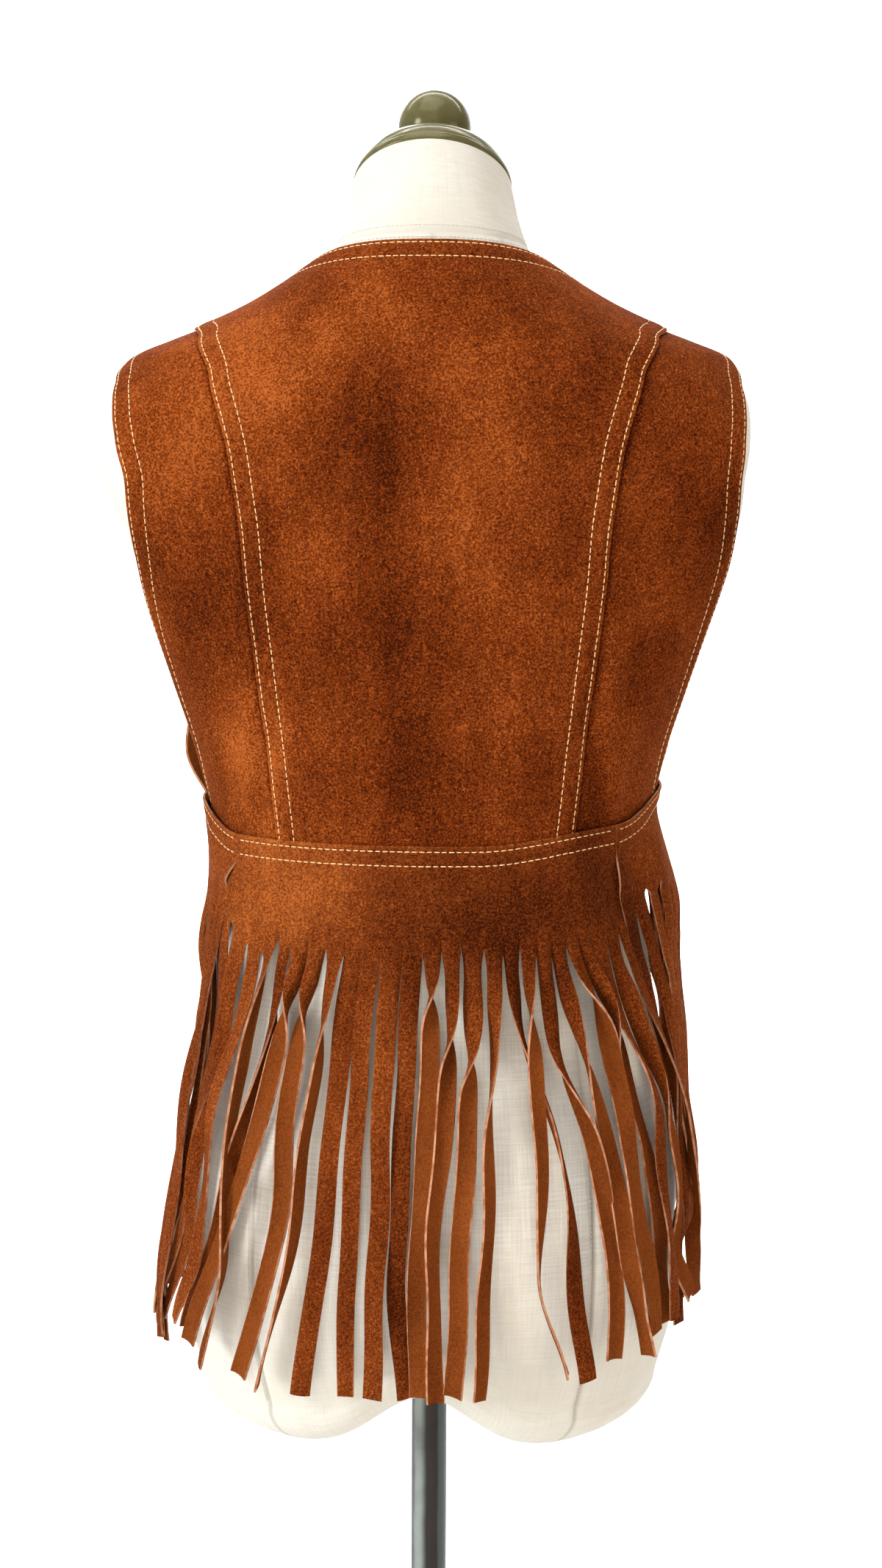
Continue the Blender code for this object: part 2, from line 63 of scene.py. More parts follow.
WAIST_HEIGHT = 1.12
RIGHT_RISE = 0.0085
CLOTH = 0.0013
LAP_GAP = 0.0008
SEAM_GAP = 0.0004
FORM_EASE = 0.001
LAP_WIDTH = 0.01
BAND_TUCK = 0.014
CENTRE_FRONT_GAP = 0.004
BACK_CORNER = 59.5
SLIT_LEVEL = -0.056
PRINCESS_TOP = 0.2876
SHOULDER_END = 0.271
NECK_BACK = 0.3285
NECK_SIDE = 0.316
NECK_FALL = 3.0
V_NECK_POINT = 0.09
SEAM_RISE = 0.016
SEAM_RISE_END = 84.0
RIGHT_RISE_START = 18.0
RIGHT_RISE_RUN = 44.0
RIGHT_FALL_START = 100.0
RIGHT_FALL_RUN = 50.0
NECK_TILT = 34.0
RIM_RADIUS = 0.046
RIM_MIDDLE = 0.019
RIM_REACH = RIM_RADIUS * math.cos(math.radians(NECK_TILT))
RIM_SLOPE = math.tan(math.radians(NECK_TILT))
FORM_END = -0.35
FINE_COUNT = 481
CLOTH_CREASE = 50.0
TURNED_CREASE = 38.0
FORM_CREASE = 60.0
TINY = 1e-14


class Side(Enum):
    """A side of the body; the value is the sign of x."""

    LEFT = 1
    RIGHT = -1

    @property
    def word(self) -> str:
        """The side's word in a piece's name."""
        return self.name.lower()


class Edge(Enum):
    """The four edges of a panel's grid."""

    INNER = "inner"
    OUTER = "outer"
    LOWER = "lower"
    UPPER = "upper"


class Coords(Enum):
    """Which coordinates a texture is laid out in."""

    OBJECT = "Object"
    UV = "UV"


# ---------------- surfaces


@lru_cache(maxsize=256)
def curve_table(rows: Rows) -> tuple[Array, Array, Array, Array]:
    """The knots, heights, steps and tangents of a monotone cubic through rows."""
    xs, ys = (np.array(column, float) for column in zip(*sorted(rows)))
    steps, slopes = np.diff(xs), np.diff(ys) / np.diff(xs)
    tangents = np.concatenate([[slopes[0]], (slopes[:-1] + slopes[1:]) / 2, [slopes[-1]]])
    flat = np.concatenate([[False], slopes[:-1] * slopes[1:] <= 0, [False]])
    tangents[flat] = 0.0
    return xs, ys, steps, tangents


def smooth(x: Array, rows: Sequence[Pair]) -> Array:
    """Monotone cubic through rows.

    Args:
        x: where to read the curve.
        rows: (x, y) pairs, in any order.

    Returns:
        The curve's height at each x.
    """
    xs, ys, steps, tangents = curve_table(tuple(rows))
    x = np.clip(np.asarray(x, float), xs[0], xs[-1])
    i = np.clip(np.searchsorted(xs, x) - 1, 0, len(steps) - 1)
    t = (x - xs[i]) / steps[i]
    return ((1 + 2 * t) * (1 - t) ** 2 * ys[i] + t * (1 - t) ** 2 * steps[i] * tangents[i]
            + t * t * (3 - 2 * t) * ys[i + 1] - t * t * (1 - t) * steps[i] * tangents[i + 1])


def ease(x: Array) -> Array:
    """Soft step from 0 to 1."""
    x = np.clip(x, 0.0, 1.0)
    return x * x * (3 - 2 * x)


def below(level: Array | float, start: float, run: float) -> Array:
    """0 above a starting level, and 1 once a run further down."""
    return ease((start - level) / run)


def bell(gap: Array | float, width: float) -> Array | float:
    """1 where there is no gap, fading away to both sides over about a width."""
    return np.exp(-((gap / width) ** 2))


@dataclass(frozen=True)
class Section:
    """One horizontal section of the dress form."""

    level: float
    half_width: float
    back: float
    front: float
    middle: float
    tilt: float = 0.0


@lru_cache(maxsize=16)
def section_column(sections: tuple[Section, ...], name: str) -> Rows:
    """One column of a table of sections, as (level, size) rows."""
    return tuple((row.level, getattr(row, name)) for row in sections)


@dataclass(frozen=True)
class Body:
    """The dress form's surface, and the layers of suede that stand off it."""

    squareness: float = 2.25
    neck_rounding: Rows = ((0.33, 2.25), (0.352, 2.0))
    least_off: float = 0.0006
    probe_turn: float = 0.5
    probe_rise: float = 0.002
    shoulder_flare: float = 1.3
    sections: tuple[Section, ...] = tuple(Section(*row) for row in (
        (-0.335, 0.141, 0.118, 0.098, 0.01), (-0.3, 0.15, 0.126, 0.106, 0.01),
        (-0.25, 0.155, 0.129, 0.112, 0.009), (-0.2, 0.152, 0.126, 0.113, 0.008),
        (-0.15, 0.144, 0.118, 0.11, 0.006), (-0.1, 0.135, 0.108, 0.104, 0.004),
        (-0.05, 0.128, 0.099, 0.098, 0.003), (0.0, 0.127, 0.097, 0.098, 0.003),
        (0.04, 0.136, 0.099, 0.105, 0.003), (0.08, 0.149, 0.103, 0.12, 0.003),
        (0.12, 0.163, 0.107, 0.136, 0.003), (0.16, 0.177, 0.11, 0.143, 0.004),
        (0.2, 0.19, 0.112, 0.134, 0.006), (0.225, 0.195, 0.111, 0.122, 0.008),
        (0.242, 0.194, 0.11, 0.113, 0.009), (0.256, 0.187, 0.108, 0.105, 0.01),
        (0.265, 0.179, 0.106, 0.1, 0.011), (0.2725, 0.169, 0.1045, 0.095, 0.012),
        (0.28, 0.15, 0.102, 0.089, 0.013), (0.288, 0.129, 0.0995, 0.082, 0.014),
        (0.298, 0.107, 0.0955, 0.072, 0.016), (0.309, 0.087, 0.09, 0.061, 0.017, 0.03),
        (0.32, 0.07, 0.083, 0.049, 0.018, 0.06), (0.33, 0.059, 0.075, 0.038, 0.019, 0.12),
        (0.346, 0.0515, 0.067, 0.027, 0.019, 0.32),
        (0.368, RIM_RADIUS, RIM_MIDDLE + RIM_REACH, RIM_REACH - RIM_MIDDLE, RIM_MIDDLE, RIM_SLOPE),
    ))
    armhole_lift: Rows = (
        (0.02, 0.0), (0.06, 0.008), (0.1, 0.018), (0.14, 0.025), (0.2, 0.025),
        (0.235, 0.017), (0.255, 0.006), (0.268, 0.0),
    )
    lift_start: float = 0.1
    lift_full: float = 0.18
    lift_most: float = 1.2
    lean_power: int = 8
    left_lean: Rows = (
        (-0.3, 0.0), (-0.25, -0.006), (-0.2, -0.0105), (-0.15, -0.0105), (-0.11, -0.007),
        (-0.065, 0.0), (0.15, 0.0), (0.215, 0.0038), (0.27, 0.0),
    )
    right_lean: Rows = (
        (-0.305, 0.0), (-0.28, -0.005), (-0.25, -0.0062), (-0.225, -0.0022), (-0.2, 0.0),
        (0.15, 0.0), (0.182, -0.003), (0.21, -0.008), (0.235, -0.0088), (0.258, -0.005), (0.275, 0.0),
    )
    stand_off: Rows = (
        (-0.34, 0.019), (-0.3, 0.013), (-0.25, 0.008), (-0.2, 0.006), (-0.15, 0.0055),
        (-0.1, 0.006), (-0.05, 0.007), (0.0, 0.0025), (0.04, 0.0025), (0.08, 0.002),
        (0.12, 0.001), (0.2, 0.0007), (0.24, 0.0012), (0.28, 0.0015), (0.3, 0.0012),
        (0.34, 0.001),
    )

    def size(self, name: str, level: Array) -> Array:
        """One column of the sections, read smoothly at each level."""
        return smooth(level, section_column(self.sections, name))

    def point(self, degrees: Array, level: Array) -> Array:
        """Points of the form's surface.

        Args:
            degrees: angle of each point.
            level: level of each point.

        Returns:
            The points, with x, y and z in the last axis.
        """
        angle, level = np.radians(np.asarray(degrees, float)), np.asarray(level, float)
        width, middle = self.size("half_width", level), self.size("middle", level)
        depth = np.where(np.cos(angle) >= 0, self.size("back", level) - middle,
                         self.size("front", level) + middle)
        across = np.abs(np.sin(angle)) / width
        along = np.abs(np.cos(angle)) / depth
        power = smooth(level, self.neck_rounding)
        radius = (across ** power + along ** power) ** (-1 / power)
        x, y = radius * np.sin(angle), radius * np.cos(angle)
        lean = np.where(x > 0, smooth(level, self.left_lean), smooth(level, self.right_lean))
        x = x + np.sign(x) * np.abs(x / width) ** self.lean_power * lean
        z = WAIST_HEIGHT + level + self.size("tilt", level) * y
        return np.stack([x, y + middle, z + 0 * x], axis=-1)

    def normal(self, degrees: Array, level: Array) -> Array:
        """Unit vectors pointing out of the form at each angle and level."""
        degrees, level = np.asarray(degrees, float), np.asarray(level, float)
        turn, rise = self.probe_turn, self.probe_rise
        around = self.point(degrees + turn, level) - self.point(degrees - turn, level)
        up = self.point(degrees, level + rise) - self.point(degrees, level - rise)
        normal = np.cross(up, around)
        return normal / np.linalg.norm(normal, axis=-1, keepdims=True)

    def vest(self, degrees: Array, level: Array, layer: float, relief: Array | float = 0.0) -> Array:
        """Inner face of a layer of suede.

        Args:
            degrees: angle of each point.
            level: level of each point.
            layer: 0 lies on the form, 1 and 2 over it.
            relief: how far each point stands out of the plain layer.

        Returns:
            The points, with x, y and z in the last axis.
        """
        off = FORM_EASE + smooth(level, self.stand_off) + layer * (CLOTH + LAP_GAP) + relief
        off = np.maximum(off, self.least_off)
        points = self.point(degrees, level) + self.normal(degrees, level) * np.asarray(off)[..., None]
        out = (np.abs(points[..., 0]) - self.lift_start) / (self.lift_full - self.lift_start)
        share = np.clip(out, 0, self.lift_most)
        points[..., 1] += smooth(level, self.armhole_lift) * share ** 2 * (np.abs(degrees) < 90)
        return points

    def depth(self, share: Array | float, reach: Array | float) -> Array | float:
        """How deep the rounded section still is at a share of its half width."""
        return reach * (1 - share ** self.squareness) ** (1 / self.squareness)

    def edge_angle(self, rows: Rows, level: Array, front: bool = False) -> Array:
        """Angle of a cut edge given by its half widths.

        Args:
            rows: the edge's points, as (level, half width).
            level: where to read it.
            front: whether the edge lies on the front half.

        Returns:
            The edge's angle at each level.
        """
        found = []
        for at, half_width in rows:
            width, middle, fore, aft = (float(self.size(name, at))
                                        for name in ("half_width", "middle", "front", "back"))
            reach = fore + middle if front else aft - middle
            angle = math.degrees(math.atan2(half_width, self.depth(min(half_width / width, 1.0), reach)))
            found.append((at, 180 - angle if front else angle))
        return smooth(level, found)

    def seam_angle(self, rows: Rows, top: float, level: Array, front: bool = False) -> Array:
        """Angle of an edge that closes on the shoulder line at the level top."""
        last = rows[-1][0]
        inner = self.edge_angle(rows, np.minimum(level, last), front)
        share = np.clip((np.asarray(level) - last) / (top - last), 0, 1)
        return inner + (90 - inner) * share ** self.shoulder_flare

    def gap_angle(self, level: Array, width: float) -> Array:
        """Degrees around the form that make up a width, at the shoulder line."""
        return math.degrees(1) * width / self.size("half_width", level)

    def front_angles(self, widths: Array, levels: Array) -> Array:
        """Angles on the front half where the section has the given half widths."""
        sizes = self.size("half_width", levels)
        reach = self.size("front", levels) + self.size("middle", levels)
        depth = self.depth(np.clip(widths / sizes, 0, 1), reach)
        return 180 - np.degrees(np.arctan2(widths, depth))

    def equal_steps(self, start: float, end: float, count: int, level: float) -> Array:
        """Angles that cut the section at a level into count equal runs of cloth."""
        fine = np.linspace(start, end, FINE_COUNT)
        points = self.vest(fine, np.full(fine.shape, level), 0)
        run = np.concatenate([[0], np.cumsum(np.linalg.norm(np.diff(points, axis=0), axis=1))])
        return np.interp(np.linspace(0, run[-1], count + 1), run, fine)

    def neck_frame(self) -> Matrix:
        """Placement of the neck's rim: its middle, leaning forward."""
        rim = self.sections[-1]
        place = Matrix.Translation((0.0, rim.middle, WAIST_HEIGHT + rim.level))
        return place @ Matrix.Rotation(math.radians(NECK_TILT), 4, "X")


BODY = Body()


def waist_level(degrees: Array) -> Array:
    """Level of the fringe panels' top edge at each angle; it sits higher on the wearer's right."""
    level = SEAM_RISE * ease((np.abs(degrees) - BACK_CORNER) / (SEAM_RISE_END - BACK_CORNER))
    right = -np.asarray(degrees, dtype=float)
    rise = ease((right - RIGHT_RISE_START) / RIGHT_RISE_RUN)
    fall = ease((right - RIGHT_FALL_START) / RIGHT_FALL_RUN)
    return level + RIGHT_RISE * rise * (1 - fall)


# ---------------- materials


class Graph:
    """Adds nodes to one material, each named by what it does."""

    def __init__(self, name: str) -> None:
        """Starts a material with a Principled shader."""
        self.material = bpy.data.materials.new(name)
        self.material.use_nodes = True
        self.tree = self.material.node_tree
        self.shader = self.tree.nodes["Principled BSDF"]

    def node(self, kind: str, **values: object) -> bpy.types.Node:
        """Adds a node.

        Args:
            kind: the node's type, without its "ShaderNode" prefix.
            values: properties by name, and inputs by their names with spaces as underscores.

        Returns:
            The node.
        """
        made = self.tree.nodes.new("ShaderNode" + kind)
        for key, value in values.items():
            if hasattr(made, key):
                setattr(made, key, value)
            else:
                self.feed(made.inputs[key.replace("_", " ")], value)
        return made

    def feed(self, socket: Socket, value: object) -> None:
        """Links or sets one input."""
        if isinstance(value, Socket):
            self.tree.links.new(value, socket)
        elif isinstance(value, tuple) and len(value) == 3 and socket.type == "RGBA":
            socket.default_value = (*value, 1.0)
        else:
            socket.default_value = value

    def dress(self, **values: object) -> Material:
        """Sets the shader's inputs and gives back the material."""
        for key, value in values.items():
            self.feed(self.shader.inputs[key.replace("_", " ")], value)
        return self.material

    def coords(self, stretch: Triple = (1, 1, 1), which: Coords = Coords.OBJECT) -> Socket:
        """Texture coordinates, stretched along each axis."""
        source = self.node("TexCoord").outputs[which.value]
        mapping = self.node("Mapping", Vector=source)
        mapping.inputs["Scale"].default_value = stretch
        return mapping.outputs["Vector"]

    def noise(self, where: Socket, scale: float, detail: float = 3.0, roughness: float = 0.6,
              distortion: float = 0.0) -> Socket:
        """Noise from 0 to 1, scale features a metre."""
        made = self.node("TexNoise", Vector=where, Scale=scale, Detail=detail, Roughness=roughness,
                         Distortion=distortion)
        return made.outputs["Fac"]

    def streaks(self, stretch: Triple, detail: float = 3.0,
                which: Coords = Coords.OBJECT) -> Socket:
        """Noise drawn out along the axes; each number is features a metre along one."""
        return self.noise(self.coords(stretch, which), 1.0, detail)

    def axis(self, where: Socket, name: str) -> Socket:
        """One axis of a vector."""
        return self.node("SeparateXYZ", Vector=where).outputs[name]

    def calc(self, how: str, a: object, b: object = 0.0, c: object = 0.0) -> Socket:
        """One Math node."""
        made = self.node("Math", operation=how)
        for socket, value in zip(made.inputs, (a, b, c)):
            self.feed(socket, value)
        return made.outputs[0]

    def spread(self, value: Socket, low: float, high: float, out_low: float = 0.0,
               out_high: float = 1.0) -> Socket:
        """Maps a range onto another, with soft ends."""
        made = self.node("MapRange", Value=value, interpolation_type="SMOOTHSTEP")
        for key, number in (("From Min", low), ("From Max", high), ("To Min", out_low), ("To Max", out_high)):
            made.inputs[key].default_value = number
        return made.outputs["Result"]

    def mix(self, share: object, a: object, b: object) -> Socket:
        """Mixes two colours."""
        made = self.node("Mix", data_type="RGBA")
        for socket, value in ((made.inputs[0], share), (made.inputs[6], a), (made.inputs[7], b)):
            self.feed(socket, value)
        return made.outputs[2]

    def attribute(self, name: str) -> Socket:
        """A number stored on the mesh."""
        return self.node("Attribute", attribute_name=name).outputs["Fac"]

    def bump(self, height: object, distance: float, strength: float = 1.0,
             under: object = None) -> Socket:
        """A normal roughened by a height, over another normal where one is given."""
        made = self.node("Bump", Height=height, Distance=distance, Strength=strength)
        if under is not None:
            self.feed(made.inputs["Normal"], under)
        return made.outputs["Normal"]


@dataclass(frozen=True)
class SuedeFinish:
    """Brushed suede: cloudy patches, a millimetre grain, and nap that lightens at grazing angles."""

    name: str
    light: Color = (0.405, 0.1, 0.0185)
    middle: Color = (0.15, 0.0255, 0.003)
    dark: Color = (0.032, 0.0042, 0.0005)
    grain: float = 1.0
    cloud: float = 1.0
    bias: float = 0.0
    usual_tone: float = 0.44
    brushing: Triple = (1.0, 1.0, 0.45)
    sheen: Color = (1.0, 0.36, 0.1)

    def make(self) -> Material:
        """Builds the material."""
        g = Graph(self.name)
        where = g.coords()
        brushed = g.coords(self.brushing)
        tone = g.calc("ADD", g.attribute("shade"), self.usual_tone + self.bias)
        grain = g.noise(where, scale=820.0, roughness=0.75)
        clouds = g.noise(brushed, scale=20.0, detail=4.0, roughness=0.55, distortion=0.5)
        blotches = g.noise(brushed, scale=60.0, roughness=0.5, distortion=0.3)
        strokes = g.noise(brushed, scale=300.0, detail=2.0)
        layers = ((clouds, 0.8 * self.cloud), (blotches, 0.4 * self.cloud),
                  (strokes, 0.35 * self.grain), (grain, 3.0 * self.grain))
        for texture, weight in layers:
            tone = g.calc("MULTIPLY_ADD", g.calc("SUBTRACT", texture, 0.5), weight, tone)
        color = g.mix(g.spread(tone, low=-0.15, high=0.55), self.dark, self.middle)
        color = g.mix(g.spread(tone, low=0.4, high=1.2), color, self.light)
        nap = g.noise(where, scale=170.0)
        normal = g.bump(nap, distance=0.001, strength=0.5)
        normal = g.bump(grain, distance=0.0007, strength=0.8, under=normal)
        return g.dress(Base_Color=color, Roughness=0.95, Specular_IOR_Level=0.03, Sheen_Weight=0.07,
                       Sheen_Roughness=0.5, Sheen_Tint=self.sheen, Normal=normal)


@dataclass(frozen=True)
class CutEdgeFinish:
    """The pale raw edge of the suede."""

    name: str = "suede_cut_edge"
    pale: Color = (0.52, 0.265, 0.16)
    deep: Color = (0.3, 0.095, 0.034)
    sheen: Color = (1.0, 0.7, 0.5)

    def make(self) -> Material:
        """Builds the material."""
        g = Graph(self.name)
        where = g.coords()
        fibre = g.noise(where, scale=700.0, roughness=0.7)
        stain = g.noise(where, scale=160.0, roughness=0.55)
        color = g.mix(g.spread(stain, low=0.35, high=0.7), self.pale, self.deep)
        color = g.mix(g.spread(fibre, low=0.35, high=0.75, out_high=0.45), color, self.deep)
        return g.dress(Base_Color=color, Roughness=0.95, Specular_IOR_Level=0.05, Sheen_Weight=0.1,
                       Sheen_Roughness=0.5, Sheen_Tint=self.sheen,
                       Normal=g.bump(fibre, distance=0.0004, strength=0.8))


@dataclass(frozen=True)
class ThreadFinish:
    """Twisted sewing thread."""

    name: str
    color: Color = (0.95, 0.66, 0.34)
    shadow: Color = (0.66, 0.38, 0.15)

    def make(self) -> Material:
        """Builds the material."""
        g = Graph(self.name)
        ply = g.noise(g.coords(), scale=900.0, detail=2.0)
        color = g.mix(g.spread(ply, low=0.3, high=0.7), self.shadow, self.color)
        return g.dress(Base_Color=color, Roughness=0.6, Specular_IOR_Level=0.3, Sheen_Weight=0.2,
                       Normal=g.bump(ply, distance=0.0002, strength=0.6))


@dataclass(frozen=True)
class CanvasFinish:
    """Unbleached plain-weave canvas."""

    name: str = "form_canvas"
    light: Color = (0.735, 0.71, 0.64)
    # Painted light: a paler canvas colour, laid between the heights where the fringe hangs over the form and
    # shades it.
    painted_light: Color = (0.95, 0.918, 0.83)
    dark: Color = (0.6, 0.55, 0.46)
    # Painted shade in the seam grooves.
    seam: Color = (0.36, 0.33, 0.27)
    thread: float = 0.00085
    slub_run: float = 30.0
    slub_across: float = 900.0
    # Heights over which the painted light fades in, and then out again.
    painted_light_from: Pair = (0.8, 0.9)
    painted_light_to: Pair = (1.08, 1.16)

    def make(self) -> Material:
        """Builds the material."""
        g = Graph(self.name)
        weave = g.coords((1 / self.thread, 1 / self.thread, 1.0), Coords.UV)
        warp, weft = (g.calc("SINE", g.calc("MULTIPLY", g.axis(weave, way), 2 * math.pi)) for way in "XY")
        over = g.calc("MULTIPLY", warp, weft)
        where = g.coords()
        run, across = self.slub_run, self.slub_across
        slub = g.calc("ADD", g.streaks((run, across, 1.0), which=Coords.UV),
                      g.streaks((across, run, 1.0), which=Coords.UV))
        soil = g.noise(where, scale=14.0, detail=4.0)
        height_up = g.axis(where, "Z")
        # Painted light: the canvas is made paler where the fringe hangs over it, to lift the shade that the
        # strips cast.
        painted_light_share = g.calc("MULTIPLY", g.spread(height_up, *self.painted_light_from),
                         g.spread(height_up, *reversed(self.painted_light_to)))
        base = g.mix(painted_light_share, self.light, self.painted_light)
        color = g.mix(g.spread(soil, low=0.35, high=0.75, out_high=0.6), base, self.dark)
        color = g.mix(g.spread(slub, low=0.8, high=1.25, out_high=0.5), color, self.dark)
        color = g.mix(g.spread(over, low=-1.0, high=1.0, out_low=0.22, out_high=0.0), color, self.dark)
        # Painted shade: darker where the mesh's seam depth says a seam groove runs.
        color = g.mix(g.spread(g.attribute("seam"), low=0.2, high=2.2, out_high=0.55), color, self.seam)
        height = g.calc("MULTIPLY_ADD", over, 0.35, slub)
        return g.dress(Base_Color=color, Roughness=0.93, Specular_IOR_Level=0.2, Sheen_Weight=0.12,
                       Normal=g.bump(height, distance=0.00035, strength=0.55))


@dataclass(frozen=True)
class BronzeFinish:
    """Glossy bronze-coloured lacquer over metal."""

    name: str = "cap_bronze_lacquer"
    base: Color = (0.098, 0.086, 0.034)
    wear_and_painted_highlight: Color = (0.138, 0.122, 0.056)
    scuffing: Triple = (300.0, 300.0, 60.0)

    def make(self) -> Material:
        """Builds the material."""
        g = Graph(self.name)
        where = g.coords()
        cloud = g.noise(where, scale=60.0, detail=4.0)
        scuff = g.streaks(self.scuffing)
        color = g.mix(g.spread(cloud, low=0.35, high=0.75), self.base, self.wear_and_painted_highlight)
        rough = g.calc("ADD", g.spread(cloud, low=0.3, high=0.8, out_low=0.16, out_high=0.26),
                       g.spread(scuff, low=0.6, high=0.8, out_high=0.08))
        return g.dress(Base_Color=color, Metallic=0.1, Roughness=rough, Specular_IOR_Level=0.08,
                       Coat_Weight=0.06, Coat_Roughness=0.05,
                       Normal=g.bump(cloud, distance=0.0006, strength=0.15))


@dataclass(frozen=True)
class SteelFinish:
    """Dark brushed steel."""

    name: str
    base: Color = (0.028, 0.031, 0.034)
    light: Color = (0.075, 0.078, 0.072)
    rust: Color = (0.048, 0.03, 0.021)
    brushing: Triple = (60.0, 60.0, 60.0)
    streaking: Triple = (130.0, 130.0, 1.6)

    def make(self) -> Material:
        """Builds the material."""
        g = Graph(self.name)
        brush = g.streaks(self.brushing)
        stain = g.noise(g.coords(), scale=22.0, detail=4.0)
        streak = g.streaks(self.streaking, detail=4.0)
        color = g.mix(g.spread(stain, low=0.3, high=0.8), self.base, self.light)
        color = g.mix(g.spread(streak, low=0.5, high=0.66), color, self.rust)
        rough = g.calc("ADD", g.spread(brush, low=0.25, high=0.8, out_low=0.2, out_high=0.3),
                       g.spread(stain, low=0.4, high=0.8, out_high=0.08))
        return g.dress(Base_Color=color, Metallic=0.35, Roughness=rough, Specular_IOR_Level=0.6,
                       Normal=g.bump(brush, distance=0.0001, strength=0.35))


@dataclass(frozen=True)
class PoleFinish:
    """Dark patinated steel, with a painted highlight down one side, a painted brown reflection down its
    middle and a painted grey reflection along the other side.
    """

    name: str = "pole_steel_brushed"
    dark: Color = (0.012, 0.013, 0.014)
    # Colours of the painted highlight, the painted brown reflection and the painted grey reflection.
    painted_highlight: Color = (0.262, 0.295, 0.27)
    brown: Color = (0.026, 0.016, 0.01)
    painted_grey_reflection: Color = (0.055, 0.066, 0.066)
    ringing: Triple = (40.0, 40.0, 900.0)
    drifting: Triple = (1.0, 1.0, 14.0)
    drift: float = 0.004
    # Sideways spans where the painted highlight, the painted brown reflection and the painted grey reflection
    # fade in and out.
    painted_highlight_from: Pair = (0.0006, 0.0056)
    painted_highlight_to: Pair = (0.0104, 0.0076)
    brown_reflection_from: Pair = (-0.0055, -0.004)
    brown_reflection_to: Pair = (0.001, -0.001)
    grey_reflection_from: Pair = (-0.005, -0.007)

    def make(self) -> Material:
        """Builds the material."""
        g = Graph(self.name)
        where = g.coords()
        ring = g.streaks(self.ringing)
        stain = g.noise(where, scale=22.0, detail=4.0)
        drift = g.streaks(self.drifting)
        side = g.axis(where, "X")
        side = g.calc("MULTIPLY_ADD", g.calc("SUBTRACT", drift, 0.5), self.drift, side)
        # Painted highlight: a bright band down one side of the pole, broken by the stains.
        wear_and_painted_highlight = g.calc("MULTIPLY", g.spread(side, *self.painted_highlight_from), g.spread(side, *self.painted_highlight_to))
        wear_and_painted_highlight = g.calc("MULTIPLY", wear_and_painted_highlight, g.spread(stain, low=0.2, high=0.6, out_low=0.6))
        # Painted reflection: a brown streak down the middle.
        brown_reflection_share = g.calc("MULTIPLY", g.spread(side, *self.brown_reflection_from), g.spread(side, *self.brown_reflection_to))
        brown_reflection_share = g.calc("MULTIPLY", brown_reflection_share, g.spread(stain, low=0.3, high=0.6, out_low=0.3))
        # Painted reflection: a grey band along the other side.
        color = g.mix(g.spread(side, *self.grey_reflection_from), self.dark, self.painted_grey_reflection)
        color = g.mix(brown_reflection_share, color, self.brown)
        color = g.mix(wear_and_painted_highlight, color, self.painted_highlight)
        rough = g.spread(ring, low=0.25, high=0.8, out_low=0.34, out_high=0.46)
        return g.dress(Base_Color=color, Metallic=0.0, Roughness=rough, Specular_IOR_Level=0.3,
                       Normal=g.bump(ring, distance=0.0001, strength=0.35))


@dataclass(frozen=True)
class PaperFinish:
    """The studio's pale sweep."""

    name: str = "studio_paper"
    wall: Color = (0.92, 0.92, 0.92)
    floor: Color = (0.62, 0.62, 0.62)
    wall_from: Pair = (0.02, 0.2)

    def make(self) -> Material:
        """Builds the material."""
        g = Graph(self.name)
        tooth = g.noise(g.coords(), scale=60.0, roughness=0.55)
        height_up = g.axis(g.coords(), "Z")
        color = g.mix(g.spread(height_up, *self.wall_from), self.floor, self.wall)
        return g.dress(Base_Color=color, Roughness=0.9, Specular_IOR_Level=0.1,
                       Normal=g.bump(tooth, distance=0.0004, strength=0.1))


def made(finish: object) -> Material:
    """A field that makes its finish when the wardrobe is filled."""
    return field(default_factory=finish.make)


@dataclass
class Wardrobe:
    """Every finish, made once."""

    suede: Material = made(SuedeFinish("suede_front"))
    fringe: Material = made(SuedeFinish(
        "suede_fringe", light=(0.42, 0.112, 0.022), middle=(0.15, 0.0292, 0.0045),
        grain=0.8, cloud=0.75, bias=0.045))
    reverse: Material = made(SuedeFinish(
        "suede_reverse", light=(0.37, 0.114, 0.026), middle=(0.195, 0.047, 0.0085),
        dark=(0.08, 0.0145, 0.002), grain=0.45, cloud=0.8, bias=-0.03))
    edge: Material = made(CutEdgeFinish())
    thread: Material = made(ThreadFinish("topstitch_thread"))
    canvas: Material = made(CanvasFinish())
    canvas_thread: Material = made(ThreadFinish(
        "canvas_seam_thread", (0.74, 0.7, 0.61), (0.55, 0.5, 0.42)))
    bronze: Material = made(BronzeFinish())
    pole: Material = made(PoleFinish())
    foot: Material = made(SteelFinish("foot_steel_brushed"))
    paper: Material = made(PaperFinish())


# ---------------- mesh helpers


def placed(name: str, data: bpy.types.ID) -> Object:
    """Puts a mesh, a light or a camera in the scene."""
    made = bpy.data.objects.new(name, data)
    bpy.context.scene.collection.objects.link(made)
    return made


def link(name: str, mesh: bpy.types.Mesh, materials: Sequence[Material]) -> Object:
    """Puts a mesh in the scene, shaded smooth, riding on the only body.

    Args:
        name: the piece's name.
        mesh: its mesh.
        materials: its materials, in slot order.

    Returns:
        The piece.
    """
    for material in materials:
        mesh.materials.append(material)
    mesh.shade_smooth()
    made = placed(name, mesh)
    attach(made, "root")
    return made


def grid_faces(rows: int, columns: int, start: int = 0) -> list[tuple[int, int, int, int]]:
    """Corner numbers of a grid's faces, facing out where columns run to +angle and rows run up."""
    return [(start + r * columns + c, start + (r + 1) * columns + c,
             start + (r + 1) * columns + c + 1, start + r * columns + c + 1)
            for r in range(rows - 1) for c in range(columns - 1)]


